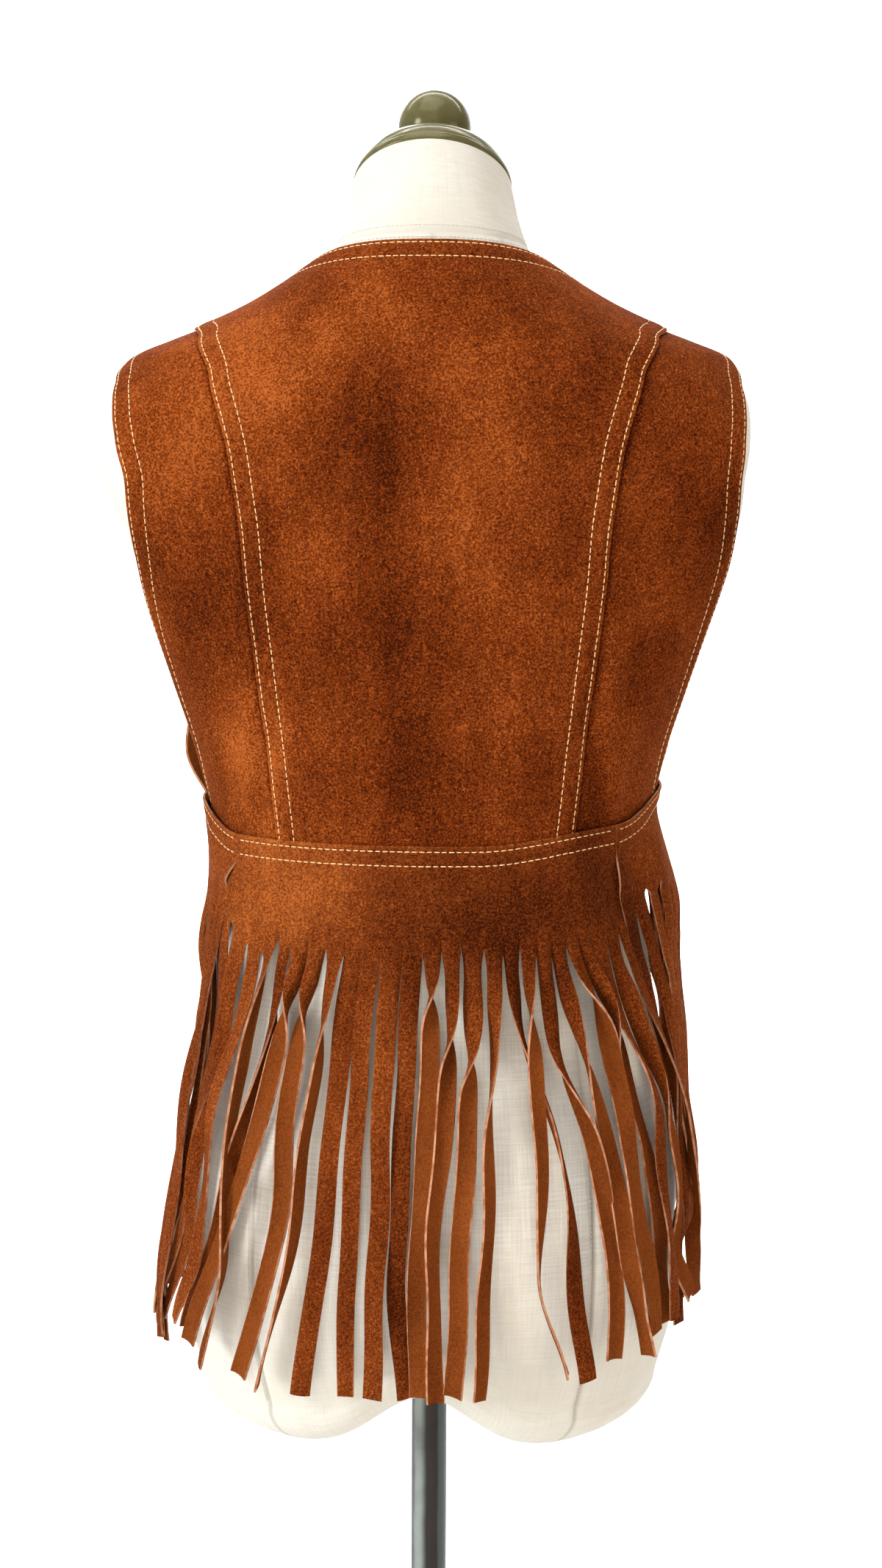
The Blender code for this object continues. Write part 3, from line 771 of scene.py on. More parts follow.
def store(mesh: bpy.types.Mesh, name: str, values: Array) -> None:
    """Stores one number a vertex."""
    layer = mesh.attributes.new(name, "FLOAT", "POINT")
    layer.data.foreach_set("value", np.asarray(values, np.float32).ravel())


def applied(obj: Object) -> None:
    """Turns a piece's modifiers into plain mesh, with its hard edges kept crisp."""
    graph = bpy.context.evaluated_depsgraph_get()
    mesh = bpy.data.meshes.new_from_object(obj.evaluated_get(graph))
    obj.modifiers.clear()
    obj.data = mesh
    mesh.name = obj.name
    mesh.set_sharp_from_angle(angle=math.radians(CLOTH_CREASE))


def suede_wall(name: str, points: Array, faces: Sequence[tuple[int, ...]], shade: Array,
               wardrobe: Wardrobe, face: Material | None = None) -> Object:
    """A wall of suede from its inner face.

    Args:
        name: the piece's name.
        points: the inner face's points.
        faces: its faces, facing out.
        shade: how light or dark each point is.
        wardrobe: the finishes.
        face: the outer face's finish, where it isn't the bodice's.

    Returns:
        The piece, its outer face, reverse and cut edge each in their own finish.
    """
    mesh = bpy.data.meshes.new(name)
    mesh.from_pydata(points.reshape(-1, 3).tolist(), [], faces)
    store(mesh, "shade", shade)
    made = link(name, mesh, [face or wardrobe.suede, wardrobe.reverse, wardrobe.edge])
    wall = made.modifiers.new("suede thickness", "SOLIDIFY")
    wall.thickness = CLOTH
    wall.offset = 1.0
    wall.use_even_offset = False
    wall.material_offset = 1
    wall.material_offset_rim = 2
    applied(made)
    return made


def turned(name: str, profile: Sequence[Pair], steps: int, material: Material,
           place: Matrix | None = None) -> Object:
    """A turned piece.

    Args:
        name: the piece's name.
        profile: (radius, height) points, from the top down its outer side.
        steps: how many sides it has.
        material: its finish.
        place: where its axis stands.

    Returns:
        The piece.
    """
    shape = bmesh.new()
    turn = 2 * math.pi / steps
    rings = [[shape.verts.new((radius * math.cos(i * turn), radius * math.sin(i * turn), height))
              for i in range(steps if radius > TINY else 1)] for radius, height in profile]
    for upper, lower in zip(rings[:-1], rings[1:]):
        for i in range(steps):
            j = (i + 1) % steps
            corners = [upper[i % len(upper)], lower[i % len(lower)],
                       lower[j % len(lower)], upper[j % len(upper)]]
            shape.faces.new(list(dict.fromkeys(corners)))
    shape.normal_update()
    if place is not None:
        shape.transform(place)
    mesh = bpy.data.meshes.new(name)
    shape.to_mesh(mesh)
    shape.free()
    made = link(name, mesh, [material])
    mesh.set_sharp_from_angle(angle=math.radians(TURNED_CREASE))
    return made


def arc(radius: float, centre: float, start: float, end: float, count: int,
        middle: float = 0.0) -> list[Pair]:
    """Points (radius, height) on an arc of a turned profile; angles in degrees from the axis."""
    turns = np.radians(np.linspace(start, end, count))
    return [(middle + radius * math.sin(t), centre + radius * math.cos(t)) for t in turns]


def unit(vectors: Array) -> Array:
    """Vectors brought to a length of one."""
    return vectors / (np.linalg.norm(vectors, axis=-1, keepdims=True) + TINY)


def outward(points: Array) -> Array:
    """Unit normals of a grid of points, columns to +angle and rows upwards."""
    return unit(np.cross(np.gradient(points, axis=0), np.gradient(points, axis=1)))


# ---------------- stitches


@dataclass
class Stitcher:
    """Joins every stitch of a row into one mesh of small arched capsules."""

    length: float = 0.0034
    pitch: float = 0.0042
    radius: float = 0.00031
    sides: int = 6
    rings: tuple[Triple, ...] = (
        (-0.5, 0.25, -0.55), (-0.4, 0.85, 0.15), (0.0, 1.0, 0.55), (0.4, 0.85, 0.15), (0.5, 0.25, -0.55))
    broad: float = 1.1
    tall: float = 0.8
    slip: float = 0.03
    lengths: Pair = (0.9, 1.06)
    slant: float = 0.07
    points: list[Array] = field(default_factory=list)

    def run(self, path: Array, normals: Array, rng: random.Random) -> None:
        """Sews along a path.

        Args:
            path: points on the cloth's outer face, in order.
            normals: the face's normal at each.
            rng: draws each stitch's small unevenness.
        """
        along = np.concatenate([[0], np.cumsum(np.linalg.norm(np.diff(path, axis=0), axis=1))])
        turns = np.arange(self.sides) * 2 * math.pi / self.sides
        for centre in np.arange(self.pitch / 2, along[-1] - self.pitch / 3, self.pitch):
            middle = centre + rng.uniform(-self.slip, self.slip) * self.pitch
            length = self.length * rng.uniform(*self.lengths)
            start, at, end = (np.array([np.interp(middle + share * length, along, line) for line in path.T])
                              for share in (-0.5, 0.0, 0.5))
            tangent = unit(end - start)
            normal = np.array([np.interp(middle, along, line) for line in normals.T])
            normal = unit(normal - tangent * normal.dot(tangent))
            side = np.cross(normal, tangent)
            tangent = tangent + side * rng.uniform(-self.slant, self.slant)
            loop = (np.outer(np.cos(turns), side) * self.broad
                    + np.outer(np.sin(turns), normal) * self.tall)
            self.points.append(np.concatenate([
                at + tangent * share * length + normal * rise * self.radius + self.radius * width * loop
                for share, width, rise in self.rings]))

    def piece(self, name: str, material: Material) -> Object:
        """Makes the mesh of all the stitches sewn so far."""
        rings, sides = len(self.rings), self.sides
        faces = []
        for start in range(0, len(self.points) * rings * sides, rings * sides):
            for r in range(rings - 1):
                for s in range(sides):
                    t = (s + 1) % sides
                    faces.append((start + r * sides + s, start + r * sides + t,
                                  start + (r + 1) * sides + t, start + (r + 1) * sides + s))
            faces.append(tuple(start + s for s in reversed(range(sides))))
            faces.append(tuple(start + (rings - 1) * sides + s for s in range(sides)))
        mesh = bpy.data.meshes.new(name)
        mesh.from_pydata(np.concatenate(self.points).tolist(), [], faces)
        return link(name, mesh, [material])


# ---------------- the dress form


@dataclass
class DressForm:
    """The padded canvas torso with its seams."""

    wardrobe: Wardrobe
    columns: int = 200
    step: float = 0.0035
    under_shares: tuple[float, ...] = (0.115, 0.2, 0.3, 0.42, 0.52, 0.62, 0.7, 0.78, 0.84, 0.89, 0.93, 0.96,
                                       0.98, 0.993)
    under_depth: float = 0.041
    under_round: float = 3.6
    under_run: float = 0.14
    arch_height: float = 0.035
    arch_half_width: float = 0.04
    arch_top: float = -0.25
    neck_seam: float = 0.3338
    seams: tuple[float, ...] = (-3.0, 180.0, 90.0, -90.0, 45.5, -45.5, 135.0, -135.0)
    seam_depth: float = 0.0007
    seam_width: float = 0.0016
    seam_columns: tuple[float, ...] = (-1.3, -0.6, 0.0, 0.6, 1.3)
    neck_seam_rows: tuple[float, ...] = (-0.0015, 0.0, 0.0015)
    low_seam_level: float = -0.18
    low_seam_run: float = 0.05
    low_seam_extra: float = 1.4
    weave_radius: float = 0.15
    stitched: Pair = (-0.333, -0.02)
    stitch_offset: float = 0.0022
    stitch_turn: float = 0.75

    def arch(self, x: Array, level: float) -> Array:
        """How far the lower end is drawn up between its two lobes."""
        lowest = BODY.sections[0].level
        fade = np.clip((self.arch_top - level) / (self.arch_top - lowest), 0, 1)
        return self.arch_height * bell(x, self.arch_half_width) * fade * fade

    def under_ring(self, degrees: Array, share: float) -> Array:
        """A ring of the underside, at a share of the lowest section's radius."""
        lowest = BODY.sections[0].level
        points = BODY.point(degrees, np.full(len(degrees), lowest))
        points[:, :2] *= share
        if share == self.under_shares[0]:
            points[:, 2] = WAIST_HEIGHT + FORM_END
        else:
            sag = self.under_depth * (1 - share ** self.under_round) ** 0.5
            points[:, 2] += self.arch(points[:, 0], lowest) - sag
        return points

    def groove(self, degrees: Array, level: float) -> Array:
        """Depth of the sewn seams: down the middle, the princess lines, the sides and round the neck."""
        radius = np.linalg.norm(BODY.point(degrees, np.full(len(degrees), level))[:, :2], axis=1)
        depth = np.zeros(len(degrees))
        for seam in self.seams if level <= self.neck_seam else ():
            turn = (degrees - seam + 180) % 360 - 180
            depth += bell(np.radians(turn) * radius, self.seam_width)
        depth += bell(level - self.neck_seam, self.seam_width)
        extra = self.low_seam_extra * below(level, self.low_seam_level, self.low_seam_run)
        return np.minimum(depth, 1.0) * self.seam_depth * (1 + extra)

    def build(self) -> Object:
        """Builds the torso."""
        sections = BODY.sections
        lowest, top = sections[0].level, sections[-1].level
        levels = np.concatenate([np.arange(lowest, top, self.step),
                                 self.neck_seam + np.array(self.neck_seam_rows), [top]])
        levels = np.unique(np.round(levels, 5))
        seams = np.array(self.seams)
        degrees = np.concatenate([np.arange(self.columns) * 360 / self.columns - 180]
                                 + [seams + beside for beside in self.seam_columns])
        degrees = np.unique(np.round((degrees + 180) % 360 - 180, 3))
        columns = len(degrees)
        rings = [self.under_ring(degrees, share) for share in self.under_shares]
        rows = [lowest - (1 - share) * self.under_run for share in self.under_shares]
        dents = [self.groove(degrees, lowest)] * len(rings)
        for level in levels:
            ring = BODY.point(degrees, np.full(columns, level))
            dents.append(self.groove(degrees, level))
            ring -= BODY.normal(degrees, np.full(columns, level)) * dents[-1][:, None]
            ring[:, 2] += self.arch(ring[:, 0], level)
            rings.append(ring)
            rows.append(level)
        points = np.concatenate(rings)
        faces = []
        for r in range(len(rings) - 1):
            for c in range(columns):
                d = (c + 1) % columns
                faces.append((r * columns + c, (r + 1) * columns + c, (r + 1) * columns + d, r * columns + d))
        faces.append(tuple(range(columns)))
        faces.append(tuple((len(rings) - 1) * columns + c for c in reversed(range(columns))))
        mesh = bpy.data.meshes.new("torso_canvas")
        mesh.from_pydata(points.tolist(), [], faces)
        # The seam depth of each point; the canvas finish paints shade into the grooves from it.
        store(mesh, "seam", np.concatenate(dents) / self.seam_depth)
        self.lay_out(mesh, degrees, np.array(rows), columns)
        made = link("torso_canvas", mesh, [self.wardrobe.canvas])
        mesh.set_sharp_from_angle(angle=math.radians(FORM_CREASE))
        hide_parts("form_torso")
        return made

    def lay_out(self, mesh: bpy.types.Mesh, degrees: Array, rows: Array, columns: int) -> None:
        """Lays the weave out in metres around and up the form."""
        uv = mesh.uv_layers.new(name="weave")
        values = np.zeros((len(mesh.loops), 2), np.float32)
        index = np.zeros(len(mesh.loops), np.int32)
        mesh.loops.foreach_get("vertex_index", index)
        around, lap = np.radians(degrees) * self.weave_radius, 2 * math.pi * self.weave_radius
        values[:, 0] = around[index % columns]
        values[:, 1] = rows[np.minimum(index // columns, len(rows) - 1)]
        for polygon in mesh.polygons:
            span = values[polygon.loop_indices, 0]
            if len(span) == 4 and span.max() - span.min() > lap / 2:
                for loop in polygon.loop_indices:
                    values[loop, 0] += lap if values[loop, 0] < 0 else 0.0
        uv.data.foreach_set("uv", values.ravel())

    def stitches(self, rng: random.Random) -> Object:
        """Small stitches beside the seams."""
        sewn = Stitcher(length=0.0016, pitch=0.0026, radius=0.00021, sides=5)
        ring = np.linspace(-180, 180, 361)
        for offset in (-self.stitch_offset, self.stitch_offset):
            level = np.full(ring.shape, self.neck_seam + offset)
            sewn.run(BODY.point(ring, level), BODY.normal(ring, level), rng)
        for seam in self.seams:
            level = np.linspace(*self.stitched, 120)
            degrees = np.full(level.shape, seam + self.stitch_turn)
            path = BODY.point(degrees, level)
            path[:, 2] += np.array([float(self.arch(x, z)) for x, z in zip(path[:, 0], level)])
            sewn.run(path, BODY.normal(degrees, level), rng)
        made = sewn.piece("torso_seam_stitches", self.wardrobe.canvas_thread)
        return made


@dataclass
class NeckCap:
    """The turned cap and its ball."""

    wardrobe: Wardrobe
    steps: int = 128
    base: float = 0.0003
    crown: Rows = ((0.0, 0.0295), (0.0175, 0.0295))
    dome: Rows = ((0.019, 0.0292), (0.024, 0.028), (0.031, 0.024), (0.0375, 0.0185), (0.042, 0.013),
                  (0.0442, 0.0078))
    dome_steps: int = 18
    lip: Rows = ((0.0443, 0.0066), (0.0452, 0.0058), (RIM_RADIUS, 0.0046), (RIM_RADIUS, 0.0016),
                 (RIM_RADIUS - 0.0004, 0.0008))
    lip_rounding: float = 0.0012
    ball_radius: float = 0.0216
    ball_centre: float = 0.047
    ball_end: float = 128.0
    ring: Rows = ((0.0148, 0.0318), (0.0158, 0.0316), (0.0168, 0.0311), (0.017, 0.0305), (0.0168, 0.0299),
                  (0.016, 0.0298), (0.0, 0.0298))

    def cap(self) -> Object:
        """The cap, with its rolled lower lip."""
        rows = [(height, radius) for radius, height in self.dome]
        heights = np.linspace(rows[0][0], rows[-1][0], self.dome_steps)
        profile = [*self.crown, *((float(smooth(height, rows)), float(height)) for height in heights),
                   *self.lip, (RIM_RADIUS - self.lip_rounding, self.base), (0.0, self.base)]
        made = turned("neck_cap_turned", profile, self.steps, self.wardrobe.bronze, BODY.neck_frame())
        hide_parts("neck_cap")
        return made

    def knob(self) -> Object:
        """The ball on its ringed neck."""
        profile = arc(self.ball_radius, self.ball_centre, 0, self.ball_end, 40) + list(self.ring)
        made = turned("cap_knob_turned", profile, self.steps, self.wardrobe.bronze, BODY.neck_frame())
        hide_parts("cap_knob")
        return made


@dataclass
class Stand:
    """The pole and the round foot."""

    wardrobe: Wardrobe
    pole_radius: float = 0.011
    pole_rounding: float = 0.001
    pole_sides: int = 72
    foot_radius: float = 0.18
    foot_height: float = 0.008
    inner_ring: float = 0.02
    rounding: float = 0.004
    chamfer: float = 0.0006
    foot_sides: int = 160

    def pole(self) -> Object:
        """The pole, with rounded ends, from the form down to the foot."""
        top, bottom = WAIST_HEIGHT + FORM_END - LAP_GAP, self.foot_height + LAP_GAP
        rows = np.linspace(top - self.pole_rounding, bottom + self.pole_rounding, 24)
        end = self.pole_radius - self.pole_rounding
        profile = [(0.0, top), (end, top), *((self.pole_radius, float(z)) for z in rows),
                   (end, bottom), (0.0, bottom)]
        made = turned("pole_brushed", profile, self.pole_sides, self.wardrobe.pole)
        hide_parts("pole")
        return made

    def foot(self) -> Object:
        """The round foot."""
        flat = self.foot_radius - self.rounding
        profile = [(0.0, self.foot_height)]
        profile += [(float(r), self.foot_height) for r in np.linspace(self.inner_ring, flat, 12)[:-1]]
        profile += arc(self.rounding, self.foot_height - self.rounding, 0, 90, 9, flat)
        profile += [(self.foot_radius, self.chamfer), (self.foot_radius - self.chamfer, 0.0), (0.0, 0.0)]
        made = turned("foot_brushed", profile, self.foot_sides, self.wardrobe.foot)
        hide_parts("foot")
        return made


# ---------------- the vest's bodice


@dataclass(frozen=True)
class Fold:
    """A soft ridge, or a trough where its height is negative, between two places."""

    start: Pair
    end: Pair
    height: float
    width: float
    bow: float = 0.0
    # Painted shade: lighter along a ridge, darker along a trough.
    shade: float = 0.0


@dataclass(frozen=True)
class Patch:
    """A cloud of lighter or darker nap around a place; some clouds are painted light and shade."""

    angle: float
    level: float
    radius: float
    amount: float


BODICE_FOLDS = tuple(Fold(*row) for row in (
    ((8, 0.3), (4, 0.02), -0.0012, 0.01, 0.01, -0.06),
    ((-2, 0.255), (-4, 0.06), 0.0016, 0.013, -0.006, 0.04),
    ((14, 0.25), (17, 0.08), 0.0014, 0.016, 0.008, 0.03),
    ((-52, 0.125), (-58, 0.012), 0.003, 0.008, 0.004, 0.1),
    ((-46, 0.095), (-57, 0.004), -0.0016, 0.007, 0.003, -0.1),
    ((-62, 0.085), (-59, 0.01), 0.002, 0.006, 0.002, 0.05),
    ((50, 0.11), (58, 0.01), 0.0022, 0.008, -0.004, 0.08),
    ((44, 0.08), (56, 0.004), -0.0012, 0.007, 0.0, -0.08),
    ((30, 0.14), (34, 0.02), 0.0012, 0.012, 0.0, 0.03),
    ((-30, 0.15), (-33, 0.03), 0.0014, 0.012, 0.0, 0.03),
    ((-24, 0.06), (-12, 0.004), 0.0012, 0.01, 0.0, 0.02),
    ((20, 0.05), (10, 0.003), 0.001, 0.009, 0.0, 0.02),
    ((40, 0.268), (62, 0.235), 0.0012, 0.012, 0.0, 0.04),
    ((-40, 0.268), (-62, 0.235), 0.0012, 0.012, 0.0, 0.02),
    ((118, 0.15), (112, 0.01), 0.0026, 0.01, 0.004, 0.05),
    ((-118, 0.14), (-113, 0.01), 0.0026, 0.01, -0.004, 0.05),
    ((134, 0.085), (128, 0.004), 0.0018, 0.009, 0.0, 0.02),
    ((-132, 0.095), (-129, 0.004), 0.0018, 0.009, 0.0, 0.02),
    ((150, 0.12), (160, 0.02), 0.0016, 0.012, 0.006, 0.0),
    ((-148, 0.125), (-158, 0.02), 0.0016, 0.012, -0.006, 0.0),
    ((112, 0.255), (136, 0.19), 0.0014, 0.014, 0.0, 0.03),
    ((-112, 0.25), (-134, 0.2), 0.0014, 0.014, 0.0, 0.03),
))

# Some of these clouds are painted light and shade: lighter on the wearer's left shoulder, darker down the
# wearer's right side and along the waist band.
PATCHES = tuple(Patch(*row) for row in (
    (46, 0.262, 0.04, 0.26), (60, 0.215, 0.035, 0.16), (20, 0.3, 0.03, 0.14),
    (5, 0.12, 0.04, -0.3), (6, 0.22, 0.032, -0.24), (3, 0.04, 0.034, -0.2),
    (22, 0.205, 0.045, -0.1), (-14, 0.205, 0.036, 0.14), (-18, 0.08, 0.036, 0.12),
    (-40, 0.24, 0.05, -0.04), (-70, 0.18, 0.04, -0.3), (-60, 0.1, 0.03, -0.14),
    (58, 0.05, 0.022, 0.26), (52, 0.13, 0.045, -0.12), (34, 0.06, 0.03, 0.1),
    (0, -0.035, 0.045, -0.22), (-28, -0.04, 0.04, -0.2), (-52, -0.03, 0.04, -0.3),
    (38, -0.025, 0.036, 0.3), (22, -0.03, 0.03, -0.1), (-34, 0.05, 0.03, -0.08),
))


FOLD_STEPS = 25
FOLD_BOW_RADIUS = 0.12
FOLD_FADE = 0.3
FOLD_END = 0.12


def fold_field(points: Array, folds: Sequence[Fold]) -> tuple[Array, Array]:
    """Heights and shades that folds give to a grid.

    Args:
        points: the grid's points on the plain cloth.
        folds: the folds.

    Returns:
        The height and the shade at each point.
    """
    height, shade = np.zeros(points.shape[:-1]), np.zeros(points.shape[:-1])
    steps = np.linspace(0, 1, FOLD_STEPS)
    for fold in folds:
        degrees = fold.start[0] + (fold.end[0] - fold.start[0]) * steps
        levels = fold.start[1] + (fold.end[1] - fold.start[1]) * steps
        degrees = degrees + np.degrees(fold.bow / FOLD_BOW_RADIUS) * np.sin(math.pi * steps)
        line = BODY.vest(degrees, levels, 1)
        gaps = np.linalg.norm(points[..., None, :] - line, axis=-1)
        share = steps[gaps.argmin(axis=-1)]
        fade = ease(share / FOLD_FADE + FOLD_END) * ease((1 - share) / FOLD_FADE + FOLD_END)
        body = bell(gaps.min(axis=-1), fold.width) * fade
        height += fold.height * body
        shade += fold.shade * body
    return height, shade


def patch_field(points: Array) -> Array:
    """How light or dark the listed clouds of nap, some of them painted light and shade, make each point."""
    shade = np.zeros(points.shape[:-1])
    for patch in PATCHES:
        middle = BODY.vest(np.array(patch.angle), np.array(patch.level), 1)
        shade += patch.amount * bell(np.linalg.norm(points - middle, axis=-1), patch.radius)
    return shade


@dataclass(frozen=True)
class StitchRow:
    """One row of topstitching: the edge it follows, how far in, and the share where it ends."""

    edge: Edge
    inset: float
    end: float = 1.0


@dataclass(frozen=True)
class EdgeShape:
    """The shape of a sewn, cut edge: grooves under the stitches, a swell between, a thin pale rim."""

    groove: float = 0.0004
    groove_width: float = 0.001
    swell: float = 0.0003
    swell_inset: float = 0.0065
    swell_width: float = 0.0035
    thin: float = 0.00028
    thin_run: float = 0.0006
    pale: float = 0.16
    pale_run: float = 0.0012

    def sewn(self, gap: Array, inset: float) -> Array:
        """Depth of the groove under a row of stitches."""
        return self.groove * bell(gap - inset, self.groove_width)

    def swelling(self, gap: Array) -> Array:
        """Height of the swell between two rows."""
        return self.swell * bell(gap - self.swell_inset, self.swell_width)

    def thinned(self, gap: Array) -> Array:
        """Depth lost at the cut edge."""
        return self.thin * np.exp(-gap / self.thin_run)

    def paled(self, gap: Array) -> Array:
        """How much lighter the cut edge is."""
        return self.pale * np.exp(-gap / self.pale_run)


FINE = (0.0, 0.0006, 0.0013, 0.0019, 0.0026, 0.004, 0.0062, 0.0088, 0.0104, 0.0112, 0.012, 0.0136)
FINE_SHARE = 0.4


def spaced(fine: Sequence[float], total: float, step: float, both: bool) -> Array:
    """Shares of a run, fine at its ends.

    Args:
        fine: distances from an end that get a point each.
        total: the run's length.
        step: spacing between them.
        both: whether both ends are fine, or the last one only.

    Returns:
        Shares from 0 to 1.
    """
    near = np.array(fine)
    near = near * min(1.0, total * FINE_SHARE / near[-1])
    start = near if both else np.array([0.0])
    count = max(3, int(math.ceil((total - near[-1] - start[-1]) / step)))
    middle = np.linspace(start[-1], total - near[-1], count + 1)[1:-1]
    return np.concatenate([start, middle, (total - near)[::-1]]) / total


@dataclass
class Bodice:
    """A bodice panel: a grid between two side edges, with folds, sewn grooves and topstitching."""

    name: str
    node: str
    layer: int
    wardrobe: Wardrobe
    flat: Pair
    area: float
    rows: tuple[StitchRow, ...]
    step: float = 0.003
    edges: EdgeShape = EdgeShape()
    usual_height: float = 0.34
    fine_columns: int = 161
    end_share: float = 2.5
    even_from: float = 0.012
    even_run: float = 0.03
    lines: list[tuple[Array, Array]] = field(default_factory=list)

    def outline(self, share: Array) -> tuple[Array, Array, Array, Array]:
        """Inner angle, outer angle, inner level and outer level of each row."""
        raise NotImplementedError

    def grid(self) -> tuple[Array, Array]:
        """Angles and levels of the grid's points, close together along its edges."""
        shares = spaced(FINE, self.usual_height, self.step, False)
        inner, outer, low, high = (column[:, None] for column in self.outline(shares))
        across = np.linspace(0, 1, self.fine_columns)
        degrees = inner + (outer - inner) * across
        fine = BODY.vest(degrees, self.shaped(degrees, low + (high - low) * across), self.layer)
        steps = np.linalg.norm(np.diff(fine, axis=1), axis=-1)
        run = np.concatenate([np.zeros((len(shares), 1)), np.cumsum(steps, axis=1)], axis=1)
        widest = float(run[:, -1].max())
        places = spaced(FINE, widest, self.step, True)
        near = np.minimum(places, 1 - places)
        even = ease((near * widest - self.even_from) / self.even_run)
        t = np.zeros((len(shares), len(places)))
        for row, lengths in zip(t, run):
            length = lengths[-1]
            inset = np.minimum(near * widest, near * length * self.end_share)
            wanted = np.where(places < 0.5, inset, length - inset)
            wanted = wanted * (1 - even) + places * length * even
            row[:] = np.interp(np.maximum.accumulate(np.clip(wanted, 0, length)), lengths, across)
        degrees = inner + (outer - inner) * t
        return degrees, self.shaped(degrees, low + (high - low) * t)

    def build(self) -> Object:
        """Builds the panel and keeps the paths of its topstitching."""
        degrees, levels = self.grid()
        plain = BODY.vest(degrees, levels, self.layer)
        # The folds give height and painted shade.
        height, shade = fold_field(plain, BODICE_FOLDS)
        gaps = {edge: self.edge_gap(plain, edge) for edge in Edge}
        for row in self.rows:
            height -= self.edges.sewn(gaps[row.edge], row.inset) * (self.along(plain, row.edge) <= row.end)
        height += self.stand(levels, gaps)
        for edge in dict.fromkeys(row.edge for row in self.rows):
            height += self.edges.swelling(gaps[edge])
        for edge in (Edge.INNER, Edge.OUTER, Edge.UPPER):
            height -= self.edges.thinned(gaps[edge])
            shade += self.edges.paled(gaps[edge])
        # Painted shadow beside the laps, added with the nap clouds.
        shade += patch_field(plain) + self.lap_shadow(plain, levels)
        points = BODY.vest(degrees, levels, self.layer, height)
        normals = outward(points) * self.turned_out()
        for row in self.rows:
            self.trace(row, gaps[row.edge], self.along(plain, row.edge), points + normals * CLOTH, normals)
        faces = grid_faces(*degrees.shape)
        if self.turned_out() < 0:
            faces = [face[::-1] for face in faces]
        made = suede_wall(self.name, points, faces, shade, self.wardrobe)
        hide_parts(self.node)
        return made

    def lap_shadow(self, plain: Array, levels: Array) -> Array:
        """Painted shadow that darkens the panel beside a panel that laps it."""
        return np.zeros(levels.shape)

    def stand(self, levels: Array, gaps: dict[Edge, Array]) -> Array:
        """How far a loose edge stands off."""
        return np.zeros(levels.shape)

    def shaped(self, degrees: Array, levels: Array) -> Array:
        """The levels of the grid, where an edge isn't level."""
        return levels

    def turned_out(self) -> float:
        """1 where the columns run to +angle, and -1 where they run the other way."""
        return 1.0

    def edge_line(self, points: Array, edge: Edge) -> Array:
        """The points along one edge of the grid."""
        return {Edge.INNER: points[:, 0], Edge.OUTER: points[:, -1],
                Edge.LOWER: points[0], Edge.UPPER: points[-1]}[edge]

    def edge_gap(self, points: Array, edge: Edge) -> Array:
        """Distance of each point of the grid from one edge."""
        line = self.edge_line(points, edge)
        best = np.full(points.shape[:-1], 1.0)
        for a, b in zip(line[:-1], line[1:]):
            run = b - a
            length = float(run.dot(run)) + TINY
            share = np.clip(((points - a) @ run) / length, 0, 1)
            gap = np.linalg.norm(points - a - share[..., None] * run, axis=-1)
            best = np.minimum(best, gap)
        return best

    def along(self, points: Array, edge: Edge) -> Array:
        """Share of the way along an edge that each point of the grid lies at."""
        rows, columns = points.shape[:2]
        if edge in (Edge.INNER, Edge.OUTER):
            return np.linspace(0, 1, rows)[:, None] + np.zeros((1, columns))
        return np.linspace(0, 1, columns)[None, :] + np.zeros((rows, 1))

    def trace(self, row: StitchRow, gap: Array, along: Array, face: Array, normals: Array) -> None:
        """Finds a row's path: where the distance from its edge is the row's inset."""
        if row.edge in (Edge.LOWER, Edge.UPPER):
            gap, along = gap.T, along.T
            face, normals = face.transpose(1, 0, 2), normals.transpose(1, 0, 2)
        if row.edge in (Edge.OUTER, Edge.UPPER):
            gap, along, face, normals = gap[:, ::-1], along[:, ::-1], face[:, ::-1], normals[:, ::-1]
        path, ways = [], []
        for i in range(gap.shape[0]):
            beyond = np.nonzero(gap[i] >= row.inset)[0]
            if along[i, 0] > row.end or not len(beyond) or beyond[0] == 0:
                continue
            j = beyond[0]
            share = (row.inset - gap[i, j - 1]) / (gap[i, j] - gap[i, j - 1] + TINY)
            path.append(face[i, j - 1] * (1 - share) + face[i, j] * share)
            ways.append(normals[i, j - 1] * (1 - share) + normals[i, j] * share)
        if len(path) > 2:
            self.lines.append((np.array(path), np.array(ways)))


@dataclass
class BackCentre(Bodice):
    """The centre back, which laps over the two side backs."""

    princess: Rows = (
        (-0.014, 0.08), (0.0, 0.082), (0.064, 0.089),
        (0.105, 0.0943), (0.148, 0.0996), (0.186, 0.103),
        (0.226, 0.1095), (0.252, 0.1165), (0.27, 0.1228),
        (0.2805, 0.1268),
    )
    split: float = 0.8
    crowding: float = 1.25

    def outline(self, share: Array) -> tuple[Array, Array, Array, Array]:
        """Rows are level, from under the waist panel to the neckline."""
        low = np.clip(share / self.split, 0, 1)
        high = np.clip((share - self.split) / (1 - self.split), 0, 1)
        levels = -BAND_TUCK + (PRINCESS_TOP + BAND_TUCK) * (1 - (1 - low) ** self.crowding)
        levels = levels + (NECK_BACK - PRINCESS_TOP) * high
        reach = BODY.seam_angle(self.princess, PRINCESS_TOP, levels) - BODY.gap_angle(levels, SEAM_GAP / 2)
        return -reach, reach, levels, levels

    def shaped(self, degrees: Array, levels: Array) -> Array:
        """The neckline falls towards the shoulders."""
        over = np.clip((levels - PRINCESS_TOP) / (NECK_BACK - PRINCESS_TOP), 0, 1)
        return levels - over * (NECK_BACK - NECK_SIDE) * np.abs(degrees / 90) ** NECK_FALL


